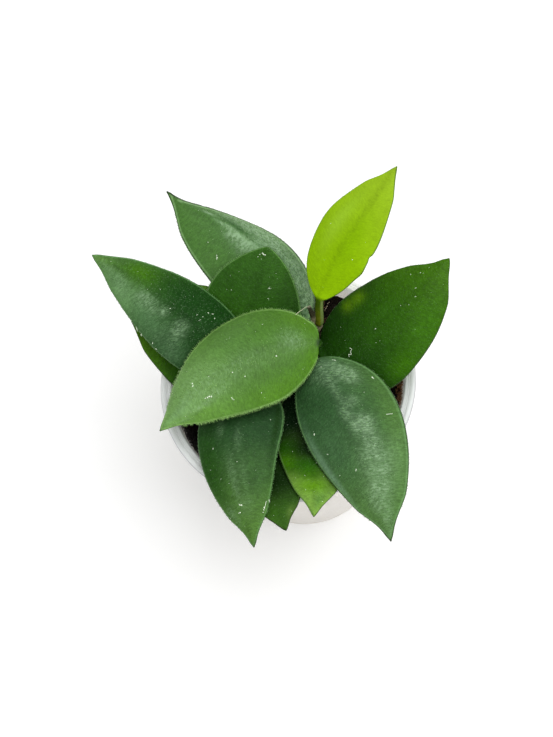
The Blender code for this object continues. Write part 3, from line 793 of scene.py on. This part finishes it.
def wall_radius(z):
    """Outside radius of the pot's tapered wall, which steps out at the stacking shoulder."""
    return BASE_RADIUS + WALL_SLOPE * z + (SHOULDER_STEP if z > SHOULDER_HEIGHT else 0.0)


def arc(centre, radius, start, end, steps):
    """(radius, z) points of a turned profile's rounding, with its angles in degrees."""
    turns = np.radians(np.linspace(start, end, steps))
    return [(centre[0] + radius * math.cos(a), centre[1] + radius * math.sin(a)) for a in turns]


def pot_profile():
    """(radius, z) from the floor's middle up the inside, over the ridged rim and down the outside."""
    mouth = RIM_RADIUS - RIM_WIDTH
    below = SHOULDER_HEIGHT - SHOULDER_SPAN / 2
    above = SHOULDER_HEIGHT + SHOULDER_SPAN / 2
    neck = POT_HEIGHT - RIM_DEPTH
    flange = POT_HEIGHT - RIM_GROOVE
    heights = (10, 20, 30, below, above, 42, neck)
    floor_corner = (wall_radius(FLOOR) - WALL - FLOOR_CORNER, FLOOR + FLOOR_CORNER)
    inside = [(0.0, FLOOR)] + arc(floor_corner, FLOOR_CORNER, -90, 0, 6)
    inside += [(wall_radius(z) - WALL, z) for z in heights]
    rim = arc((mouth + 0.35, flange - 0.35), 0.35, 180, 90, 6)
    rim += arc((mouth + 0.95, flange - 0.1), 0.22, 150, 30, 6)
    rim += [(RIM_RADIUS - 2 * RIM_BEAD, flange - 0.02)]
    rim += arc((RIM_RADIUS - RIM_BEAD, POT_HEIGHT - RIM_BEAD), RIM_BEAD, 130, -90, 16)
    outside = [(wall_radius(neck) + RIM_GROOVE, POT_HEIGHT - 2 * RIM_BEAD)]
    outside += [(wall_radius(z), z) for z in heights[::-1]]
    foot = (wall_radius(BASE_CHAMFER) - BASE_CHAMFER, BASE_CHAMFER)
    return inside + rim + outside + arc(foot, BASE_CHAMFER, 0, -90, 7) + [(0.0, 0.0)]


def drain_cutter():
    """Upright rods where the drain holes are."""
    mesh = bpy.data.meshes.new("drain_cutter")
    work = bmesh.new()
    wide = {"radius1": DRAIN_RADIUS * MM, "radius2": DRAIN_RADIUS * MM}
    for hole in range(DRAIN_HOLES):
        rod = bmesh.ops.create_cone(work, cap_ends=True, segments=32, depth=5 * MM, **wide)
        place = Vector((*polar(1.0, 2 * math.pi * (hole + 0.5) / DRAIN_HOLES), 0.0)) * DRAIN_CIRCLE * MM
        bmesh.ops.translate(work, verts=rod["verts"], vec=place)
    work.to_mesh(mesh)
    work.free()
    return put("drain_cutter", mesh)


def make_pot():
    points = [(radius, 0.0, z) for radius, z in pot_profile()]
    pot = mesh_object("pot_milky", points, [], pot_material())
    pot.data.edges.add(len(points) - 1)
    pot.data.edges.foreach_set("vertices", [end for i in range(len(points) - 1) for end in (i, i + 1)])
    turn = pot.modifiers.new("turn", "SCREW")
    turn.steps = turn.render_steps = POT_SIDES
    turn.use_merge_vertices = True
    turn.merge_threshold = 0.00005
    cutter = drain_cutter()
    holes = pot.modifiers.new("holes", "BOOLEAN")
    holes.operation = "DIFFERENCE"
    holes.object = cutter
    mesh = bpy.data.meshes.new_from_object(pot.evaluated_get(bpy.context.evaluated_depsgraph_get()))
    pot.modifiers.clear()
    pot.data = mesh
    bpy.data.objects.remove(cutter)
    mesh.shade_smooth()
    mesh.set_sharp_from_angle(angle=math.radians(40))
    dress(pot, "pot_plastic", "pot")


def soil_top(x, y):
    """Height of the lumpy soil surface at x, y, with finer crumbs on the lumps."""
    lump = noise.noise(Vector((x * LUMP_SCALE, y * LUMP_SCALE, 3.7)))
    crumb = noise.noise(Vector((x * CRUMB_SCALE, y * CRUMB_SCALE, 9.1)))
    bits = noise.turbulence(Vector((x * BIT_SCALE, y * BIT_SCALE, 5.3)), 3, False)
    return SOIL_HEIGHT + SOIL_LUMP * (lump + CRUMB_SHARE * crumb) + SOIL_BITS * (bits - 0.5)


def make_soil():
    inset = WALL + GAP / 2
    edge = wall_radius(SOIL_HEIGHT) - inset
    rings = [(edge * ring / SOIL_RINGS, SOIL_HEIGHT) for ring in range(1, SOIL_RINGS + 1)]
    shoulder = (SHOULDER_HEIGHT + 1, SHOULDER_HEIGHT - SHOULDER_SPAN / 2)
    rings += [(wall_radius(z) - inset, z) for z in (*shoulder, 32, 24, 16, 8, FLOOR + FLOOR_CORNER + GAP)]
    rings += [(wall_radius(FLOOR) - inset - FLOOR_CORNER, FLOOR + GAP)]
    points = [(0.0, 0.0, soil_top(0, 0))]
    for index, (radius, z) in enumerate(rings):
        for side in range(SOIL_SIDES):
            x, y = polar(radius, 2 * math.pi * side / SOIL_SIDES)
            points.append((x, y, soil_top(x, y) if index < SOIL_RINGS else z))
    points.append((0.0, 0.0, FLOOR + GAP))
    last = 1 + (len(rings) - 1) * SOIL_SIDES
    faces = [(1 + a, 1 + d, 1 + c, 1 + b) for a, b, c, d in ring_faces(len(rings), SOIL_SIDES)]
    for side in range(SOIL_SIDES):
        after = (side + 1) % SOIL_SIDES
        faces += [(0, 1 + side, 1 + after), (last + side, len(points) - 1, last + after)]
    make_piece("soil_peat_bed", [(points, faces)], soil_material(), "peat", "soil")


def soil_place(rng, margin=0.6):
    """A random place on the soil's surface."""
    radius = (wall_radius(SOIL_HEIGHT) - WALL - margin) * math.sqrt(rng.uniform())
    x, y = polar(radius, rng.uniform(0, 2 * math.pi))
    return np.array((x, y, soil_top(x, y)))


def pebble(rng, size):
    """Points and faces of a small knobbly lump."""
    work = bmesh.new()
    bmesh.ops.create_icosphere(work, subdivisions=1, radius=size / 2)
    stretch = rng.uniform(*PEBBLE_STRETCH, 3)
    points = np.array([corner.co for corner in work.verts]) * stretch
    points *= rng.uniform(*PEBBLE_KNOBS, (len(points), 1))
    faces = [tuple(corner.index for corner in face.verts) for face in work.faces]
    work.free()
    return points, faces


def strand(rng, lengths, radii):
    """A thin wavy fibre, roughly level, whose length and radius lie within these."""
    length, radius = rng.uniform(*lengths), rng.uniform(*radii)
    heading = np.array((*polar(1.0, rng.uniform(0, 2 * math.pi)), rng.uniform(-0.1, 0.3)))
    wander = np.cumsum(rng.normal(0, 0.12, (len(STRAND_TAPER), 3)), axis=0) * length * 0.3
    points = heading * np.linspace(-0.5, 0.5, len(STRAND_TAPER))[:, None] * length + wander
    return tube(points, radius * np.array(STRAND_TAPER), 4)


def soil_crumb(rng):
    points, faces = pebble(rng, rng.uniform(*CRUMB_SIZES))
    return points + soil_place(rng) + (0, 0, 0.05), faces


def soil_fibre(rng, lengths, radii):
    points, faces = strand(rng, lengths, radii)
    return points + soil_place(rng, 2.2) + (0, 0, 0.25), faces


def wall_bit(rng, turns):
    """A short fibre or crumb that clings to the pot's inner wall between these turns."""
    turn = rng.uniform(*turns)
    lift = WALL_BIT_REACH * rng.uniform() ** 1.5 - 0.2
    inward = rng.uniform(0.1, 1.5 - 0.35 * lift)
    x, y = polar(wall_radius(SOIL_HEIGHT) - WALL + WALL_SLOPE * lift - inward, turn)
    points, faces = strand(rng, (0.7, 2.2), (0.05, 0.12))
    return np.clip(points, -0.7, 0.7) * (0.35, 1.0, 0.5) + (x, y, SOIL_HEIGHT + lift), faces


def make_soil_bits():
    """Crumbs and coir fibres in the soil and on the pot's wall above it."""
    scatter("soil_crumbs", soil_material(), 1500, 5, soil_crumb)
    for tone, colour, count, seed, lengths, radii in (
        ("rust", (0.1, 0.04, 0.016), 260, 11, (2.0, 6.0), (0.05, 0.12)),
        ("pale", (0.42, 0.34, 0.25), 60, 12, (1.5, 4.5), (0.04, 0.09)),
    ):
        name = "soil_fibres_" + tone
        scatter(name, plain_material(name, colour, 0.8), count, seed, soil_fibre, lengths, radii)
    for tone, colour, count, seed, turns in (
        ("coir", (0.24, 0.1, 0.036), 900, 13, (-0.9, 0.45)),
        ("peat", (0.014, 0.01, 0.009), 1100, 14, (3.1, 4.6)),
    ):
        name = "soil_wall_" + tone
        scatter(name, plain_material(name, colour, 0.8, 0.6), count, seed, wall_bit, turns)


# Stems


def make_stem(name, nodes, material):
    """A knotty stem that swells at each node, with its skin roughened."""
    last = len(nodes) - 1
    steps = np.linspace(0, last, STEM_STEPS * last + 1)
    smooth = evened(list(nodes.values()), steps, np.hanning(17))
    radii = smooth[:, 3] * (STEM_WAIST + NODE_SWELL * bell((steps - np.round(steps)) / NODE_SPAN))
    radii[-3:] *= STEM_END
    points, faces = tube(smooth[:, :3], radii, STEM_SIDES)
    outward = unit(points - np.repeat(smooth[:, :3], STEM_SIDES, axis=0) + 1e-9)
    rough = np.array([noise.noise(Vector(point * STEM_GRAIN)) for point in points])
    points = points + outward * (STEM_ROUGHNESS * rough[:, None])
    make_piece(name + "_bark", [(points, faces)], material, "stem_bark", name)


# Leaves


def blade_half_width(leaf, t):
    """Half the blade's width at t: round at the base, widest at belly, pointed at the tip."""
    falling = leaf["point"]
    rising = falling * leaf["belly"] / (1 - leaf["belly"])
    highest = leaf["belly"] ** rising * (1 - leaf["belly"]) ** falling
    share = t**rising * (1 - t) ** falling / highest
    return leaf["width"] / 2 * share * (1 - leaf["taper"] * smoothstep(*TIP_NARROWS, t))


def blade_curve(leaf):
    """Control points of the midrib, and the blade's own upward direction."""
    base, tip = np.array(leaf["base"]), np.array(leaf["tip"])
    chord = tip - base
    heading = unit(chord)
    side = unit(np.cross((0.0, 0, 1), heading))
    up = np.cross(heading, side)
    lift = [4 / 3 * (arch * up + bow * side) for arch, bow in zip(leaf["arch"], leaf["bow"])]
    return np.array([base, base + chord / 3 + lift[0], tip - chord / 3 + lift[1], tip]), up


def stalk_curve(leaf, blade):
    """Control points of the stalk, from just off its stem's node to the blade's base."""
    *node, radius = STEMS[leaf["stem"]][leaf["node"]]
    out = unit(np.array(leaf["out"]))
    root = np.array(node) + out * (radius + STALK_GAP)
    first, last = leaf["pull"]
    heading = unit(blade[1] - blade[0])
    return np.array([root, root + out * first, blade[0] - heading * last, blade[0]])


def leaf_frames(leaf, stalk_steps, blade_steps):
    """Centres, headings, left directions and upward normals along the stalk and the blade."""
    blade, up = blade_curve(leaf)
    stalk = stalk_curve(leaf, blade)
    centres, heading = cubic(blade, blade_steps)
    normal = unit(up - (heading @ up)[:, None] * heading)
    side = np.cross(normal, heading)
    roll = math.radians(leaf["roll"])
    normal = normal * math.cos(roll) - side * math.sin(roll)
    stalk_centres, stalk_heading = cubic(stalk, stalk_steps)
    carried = [normal[0]]
    for direction in stalk_heading[::-1]:
        carried.append(unit(carried[-1] - (carried[-1] @ direction) * direction))
    centres = np.concatenate([stalk_centres, centres])
    headings = np.concatenate([stalk_heading, heading])
    normals = np.concatenate([carried[:0:-1], normal])
    return centres, headings, np.cross(normals, headings), normals


def pucker(along, over, seed):
    """Slight unevenness of a blade, from -1 to 1, as a sum of long waves."""
    rng = np.random.default_rng(seed)
    total = 0.0
    for _ in range(PUCKER_WAVES):
        turn, span, phase = rng.uniform(0, np.pi), rng.uniform(3.0, 8.0), rng.uniform(0, 2 * np.pi)
        total += np.sin((along * np.cos(turn) + over * np.sin(turn)) * 2 * np.pi / span + phase)
    return total / PUCKER_WAVES


def dented(look, t, v):
    """The share of the half width that the bites out of the margin leave."""
    left = np.ones(np.broadcast(t, v).shape)
    for place, side, depth, reach in look["dents"]:
        left -= depth * bell((t - place) / reach) * (np.sign(v) == side) * np.abs(v) ** 6
    return left


def spot(t, v, place, side, length, width, strength):
    """How strong a soft spot, given in hundredths, is at t and v, from 0 to 1."""
    return strength / 100 * bell((100 * t - place) / length) * bell((100 * v - side) / width)


def nap_and_sheen_at(look, t, v):
    """How strong the leaf's pale nap and painted sheen are at t and v, from 0 to 1."""
    total = sum((spot(t, v, *nap_and_sheen) for nap_and_sheen in look["nap_and_sheen_spots"]), 0 * t)
    return np.clip(total, 0, 1) * smoothstep(*look["nap_and_sheen_from"], v)


def leaf_thickness(t, reach, blade):
    """How far the leaf's faces stand off its middle, and how much further the under face does."""
    tip = smoothstep(TIP_CLOSES, 1.0, t)
    round_part = np.maximum(1 - blade, tip)
    rounding = np.sqrt(1 - np.clip((reach - EDGE_ROUND) / (1 - EDGE_ROUND), 0, 1) ** 2)
    flat = (EDGE_THICKNESS + (BLADE_THICKNESS - EDGE_THICKNESS) * (1 - reach)) / 2 * rounding
    circle = (STALK_RADIUS * (1 - tip) + TIP_RADIUS * tip) * np.sqrt(1 - reach**2)
    thick = flat * (1 - round_part) + circle * round_part
    return thick, KEEL * bell(reach / KEEL_REACH) * (1 - t) * blade


def leaf_skin(leaf, look, t, v, under, frames, seed):
    """Points of a leaf, with their place over and along it and their distance from its margin."""
    centres, headings, sides, normals = frames
    reach, hand = np.abs(v), np.sign(v)
    blade = smoothstep(0.0, BLADE_START, t)
    swell = np.sin(np.pi * t)
    wide = blade_half_width(leaf, t)
    half = np.sqrt(wide**2 + (STALK_RADIUS * (1 - blade) + TIP_POINT * blade) ** 2)
    fall = np.radians(leaf["roof"] + leaf["curl"] * reach / 2) * blade
    lean = np.radians(leaf["roof"] + leaf["curl"] * reach) * blade * hand
    skew = (1 + leaf["skew"] * hand * blade) * dented(look, t, v)
    back = -np.where(v > 0, *leaf["lobes"]) * reach**2 * (wide / leaf["width"] * 2) * (1 - t) ** 4
    ripple = np.sin(2 * np.pi * (MARGIN_WAVES * t + MARGIN_OFFSET * hand + leaf["phase"]))
    groove = GROOVE * wide * bell(reach / GROOVE_REACH) * swell
    steps = np.linalg.norm(np.diff(centres, axis=0, prepend=centres[:1]), axis=1)
    along = np.cumsum(steps)[:, None] + 0 * v
    over = v * half
    uneven = PUCKER * pucker(along, over, seed) * blade * np.clip(swell, 0, 1) ** 0.5
    drop = -np.sin(fall) * reach * half - groove + leaf["wave"] * ripple * reach**3 * swell + uneven
    thick, keel = leaf_thickness(t, reach, blade)
    thick = np.where(under, -thick - keel, thick)
    points = (
        centres[:, None]
        + sides[:, None] * (np.cos(fall) * over * skew + np.sin(lean) * thick)[..., None]
        + normals[:, None] * (drop + np.cos(lean) * thick)[..., None]
        + headings[:, None] * back[..., None]
    )
    return points, over, along, (1 - reach) * half


def leaf_faces(rows, ring):
    """Faces of a leaf that is closed at both ends."""
    faces = [(a, d, c, b) for a, b, c, d in ring_faces(rows, ring)]
    return faces + [tuple(range(ring)), tuple(range((rows - 1) * ring, rows * ring))[::-1]]


def leaf_paint(look, t, v, edge, under):
    """The leaf's colour at t and v, at this distance from the margin, on the upper or the under side."""
    base, tip = tint(look["base"]), tint(look["tip"])
    colour = mix(0 * v[..., None] + base, tip, smoothstep(0.25, 1.0, t))
    # Patches of the leaf's own tone and of painted light and shade
    for *place, paint, strength in look["tone_light_shade_patches"]:
        colour = mix(colour, tint(paint), spot(t, v, *place, strength))
    # A pale line inside the margin: a painted highlight
    rim, right, left = look["rim"]
    inset = np.where(v > 0, left, right)
    line = bell((edge - inset) / (RIM_HIGHLIGHT_SHARE * inset + RIM_HIGHLIGHT_LEAST))
    colour = mix(colour, tint(rim), RIM_HIGHLIGHT_STRENGTH * line * smoothstep(0.0, 0.05, t))
    # A dark outline at the edge: painted shade of the rounded margin's underside
    strength, right, left = look["edge_shade"]
    reach = np.where(v > 0, left, right)
    edge_shade = strength * (1 - smoothstep(0.3 * reach, reach, edge))
    colour = mix(colour, base * EDGE_SHADE_SHARE + EDGE_SHADE, edge_shade)
    return mix(colour, tip * UNDER_SHARE + UNDER_PALE, 0.75 * under)


def stalk_paint(look, colours, v, over, before):
    """Adds the stalk's colours, where before is how far a point lies behind the blade's base."""
    near, foot, right = tint(look["stalk"])
    bark = mix(near, foot, smoothstep(0.0, before.max(), before))
    bark = mix(bark, right, smoothstep(-0.6, -0.95, v))
    middle = np.where(before > 0, 1.0, bell(over / 1.1))
    return mix(colours, bark, smoothstep(-0.9, 0.1, before) * middle)


def leaf_grid():
    """Steps along the stalk and the blade, and v round a ring: over the upper face, then back under it."""
    s = np.linspace(0, 1, BLADE_ROWS)
    c = np.linspace(-1, 1, COLUMNS)
    across = 0.35 * c + 0.65 * np.sin(np.pi / 2 * c)
    blade_steps = 0.5 * s + 0.25 * (1 - np.cos(np.pi * s))
    stalk_steps = np.linspace(0.0, STALK_END, STALK_ROWS)
    return stalk_steps, blade_steps, np.concatenate([across, across[-2:0:-1]])


def paint_mesh(mesh, colours, nap_and_sheen, over, along):
    """Puts the painted colour, the share of pale nap and painted sheen and the place in millimetres on the
    mesh.
    """
    layer = mesh.color_attributes.new("paint", "FLOAT_COLOR", "POINT")
    layer.data.foreach_set("color", np.insert(colours, 3, 1.0, axis=-1).ravel())
    mesh.attributes.new("nap_and_sheen", "FLOAT", "POINT").data.foreach_set("value", nap_and_sheen.ravel())
    corners = np.empty(len(mesh.loops), int)
    mesh.loops.foreach_get("vertex_index", corners)
    places = np.stack([over.ravel(), along.ravel()], axis=-1) / UV_SPAN
    mesh.uv_layers.new(name="leaf_mm").data.foreach_set("uv", places[corners].ravel())


def make_leaf(name, leaf, look, seed):
    """Makes a leaf, and returns its upper points with the steps along and across the blade."""
    stalk_steps, blade_steps, across = leaf_grid()
    t = np.concatenate([0 * stalk_steps, blade_steps])[:, None] + 0 * across
    v = 0 * t + across
    under = np.arange(len(across)) >= COLUMNS
    frames = leaf_frames(leaf, stalk_steps, blade_steps)
    points, over, along, edge = leaf_skin(leaf, look, t, v, under, frames, seed)
    colours = leaf_paint(look, t, v, edge, under)
    colours = stalk_paint(look, colours, v, over, along[STALK_ROWS, 0] - along)
    skin = leaf_material(name + "_skin", seed, look)
    made = mesh_object(name + "_blade", points.reshape(-1, 3), leaf_faces(*t.shape), skin)
    paint_mesh(made.data, colours, nap_and_sheen_at(look, t, v) * ~under, over, along)
    dress(made, look["slot"], name)
    return points[STALK_ROWS:, :COLUMNS], blade_steps, across[:COLUMNS]


def surface_at(skin, t, v):
    """Points on a leaf's upper face at t and v, with the heading, left direction and normal there."""
    upper, rows, columns = skin
    i = np.clip(np.searchsorted(rows, t) - 1, 0, len(rows) - 2)
    j = np.clip(np.searchsorted(columns, v) - 1, 0, len(columns) - 2)
    a = ((t - rows[i]) / (rows[i + 1] - rows[i]))[:, None]
    b = ((v - columns[j]) / (columns[j + 1] - columns[j]))[:, None]
    low = upper[i, j] * (1 - b) + upper[i, j + 1] * b
    high = upper[i + 1, j] * (1 - b) + upper[i + 1, j + 1] * b
    heading = unit(high - low)
    side = unit(upper[i, j + 1] - upper[i, j])
    return low * (1 - a) + high * a, heading, side, unit(np.cross(heading, side))


def hairs(rng, roots, axes, outward, rise, stray, lengths, radius):
    """Points and faces of three-sided hairs that lean outward and forward from their roots."""
    heading, side, normal = axes
    lean = side * outward[:, None] + heading * HAIR_FORWARD + normal * rng.uniform(*rise, (len(roots), 1))
    heading = unit(lean + rng.normal(0, stray, lean.shape))
    tips = roots + heading * rng.uniform(*lengths, (len(roots), 1))
    side = unit(np.cross(heading, (0.31, 0.17, 0.93)))
    up = np.cross(heading, side)
    corners = [roots + radius * (side * math.cos(a) + up * math.sin(a)) for a in np.radians((0, 120, 240))]
    points = np.stack([*corners, tips], axis=1).reshape(-1, 3)
    base = np.arange(len(roots))[:, None] * 4
    faces = np.concatenate([base + np.array(face) for face in ((0, 1, 3), (1, 2, 3), (2, 0, 3))])
    return points, faces.tolist()


def make_fuzz(name, skin, look, seed):
    """Short hairs: a fringe round the margin, and a lying nap where the leaf has its nap and painted sheen.
    """
    rng = np.random.default_rng(seed)
    length, density = look["fuzz"]
    count = int(FRINGE * density)
    t = rng.uniform(0.01, 0.9, count)
    hand = rng.choice((-1.0, 1.0), count)
    roots, *_ = surface_at(skin, t, hand * rng.uniform(0.97, 0.995, count))
    _, *axes = surface_at(skin, t, hand * FRINGE_LEVEL)
    lengths = (0.6 * length, 1.2 * length)
    fringe = hairs(rng, roots, axes, hand, (-0.2, 0.5), 0.15, lengths, FRINGE_RADIUS)
    t = rng.uniform(0.02, 0.97, NAP)
    v = rng.uniform(-0.95, 0.95, NAP)
    kept = rng.uniform(0, 1, NAP) < 0.8 * nap_and_sheen_at(look, t, v)
    roots, *axes = surface_at(skin, t[kept], v[kept])
    nap = hairs(rng, roots, axes, 0.9 * np.sign(v[kept]), (0.02, 0.25), 0.2, NAP_LENGTHS, NAP_RADIUS)
    colour = tint(look["rim"][0]) * 1.1 + HAIR_PALE
    make_piece(name + "_fuzz", [fringe, nap], plain_material(name + "_fuzz", colour, 0.55), look["slot"])


def make_crumbs(name, skin, look, seed, white):
    """Pale flakes lying on the leaf, each a short crooked row of bits, and finer dust."""
    rng = np.random.default_rng(seed)
    dust = [(*(rng.uniform(*span) for span in DUST_SPANS), 1) for _ in range(look["dust"])]
    lumps = []
    for *place, bits in (*look["crumbs"], *dust):
        t, v, size = np.array(place) / 100
        (point,), (heading,), (side,), (normal,) = surface_at(skin, np.array([t]), np.array([v]))
        turn = rng.uniform(0, 2 * math.pi)
        for _ in range(bits):
            points, faces = pebble(rng, size * rng.uniform(*FLAKE_BITS))
            lumps.append((points * (1, 1, FLAKE_HEIGHT) + point + normal * 0.1 * size, faces))
            turn += rng.normal(0, FLAKE_TURN)
            onward = heading * math.cos(turn) + side * math.sin(turn)
            point = point + onward * size * rng.uniform(*FLAKE_STEPS)
    make_piece(name + "_flakes", lumps, white, look["slot"])


def fibre(path, radius):
    """Points and faces of a thin fibre along these points."""
    smooth = evened(path, np.linspace(0, len(path) - 1, 6 * len(path)), np.ones(5))
    return tube(smooth, np.full(len(smooth), radius), 5)


def make_fibres(skins, white):
    strands = []
    for name, places in FIBRES.items():
        point, _, _, normal = surface_at(skins[name], *np.array(places).T)
        strands.append(fibre(point + normal * FIBRE_LIFT, FIBRE_RADIUS))
    make_piece("stray_fibres", strands, white, "leaf_dark")
    cream = plain_material("stem_fibre", (0.62, 0.64, 0.42), 0.7)
    make_piece("stem_fibre", [fibre(STEM_FIBRE, STEM_FIBRE_RADIUS)], cream, "stem_bark")


def make_leaves():
    white = plain_material("white_flake", (0.86, 0.98, 0.76), 0.7, 0.06)
    skins = {}
    for seed, (name, leaf) in enumerate(LEAVES.items(), start=1):
        look = {**PLAIN_LOOK, **LOOKS[name]}
        skins[name] = make_leaf(name, leaf, look, seed)
        make_fuzz(name, skins[name], look, 40 + seed)
        make_crumbs(name, skins[name], look, 80 + seed, white)
    make_fibres(skins, white)


# Floor, light and camera


def make_floor():
    size = 1500
    corners = [(-size, -size, 0), (size, -size, 0), (size, size, 0), (-size, size, 0)]
    material, tree, shader = new_material("floor_white")
    tone = spread(grain(millimetres(tree), 0.01, 2.0), 0.3, 0.7, 0.99, 1.0)
    colour = blend(1.0, grey(FLOOR_WHITE), tone, "MULTIPLY")
    fill(shader, {"Base Color": colour, "Roughness": 0.8, "Specular IOR Level": 0.1})
    fill(shader, {"Emission Color": grey(1.0), "Emission Strength": FLOOR_GLOW})
    mesh_object("floor", corners, [(0, 1, 2, 3)], material)


def aim(item, place, target, roll=0.0):
    """Puts a light or camera at place, facing target, with its up axis turned by roll."""
    facing = (place - target).to_track_quat("Z", "Y").to_matrix().to_4x4()
    item.matrix_world = Matrix.Translation(place * MM) @ facing @ Matrix.Rotation(-roll, 4, "Z")


def make_light():
    data = bpy.data.lights.new("key", "AREA")
    data.energy = KEY_WATTS
    data.size = KEY_SIZE * MM
    target = Vector((0, 0, POT_HEIGHT))
    aim(put("key", data), target + Vector(KEY_DIRECTION).normalized() * KEY_DISTANCE, target)


def make_sky():
    """Even white surroundings."""
    world = bpy.data.worlds.new("studio")
    bpy.context.scene.world = world
    world.use_nodes = True
    fill(world.node_tree.nodes["Background"], {"Color": grey(1.0), "Strength": SKY})


def make_camera():
    """The camera of the photograph: steep, slightly rolled and close."""
    data = bpy.data.cameras.new("camera")
    width, height = FRAME_SIZE
    data.sensor_width = SENSOR
    data.lens = FOCAL_PIXELS * SENSOR / height
    data.shift_x = (width / 2 - RIM_PIXEL[0]) / height
    data.shift_y = (RIM_PIXEL[1] - height / 2) / height
    data.clip_start = 0.01
    camera = put("camera", data)
    bpy.context.scene.camera = camera
    tilt = math.radians(CAMERA_ELEVATION)
    target = Vector((0, 0, POT_HEIGHT))
    place = target + Vector((0, -math.cos(tilt), math.sin(tilt))) * CAMERA_DISTANCE
    aim(camera, place, target, math.radians(CAMERA_ROLL))


def main():
    make_camera()
    make_light()
    make_sky()
    make_floor()
    make_pot()
    make_soil()
    make_soil_bits()
    bark = bark_material()
    for name, nodes in STEMS.items():
        make_stem(name, nodes, bark)
    make_leaves()
    bpy.context.scene.view_settings.view_transform = "Standard"


main()
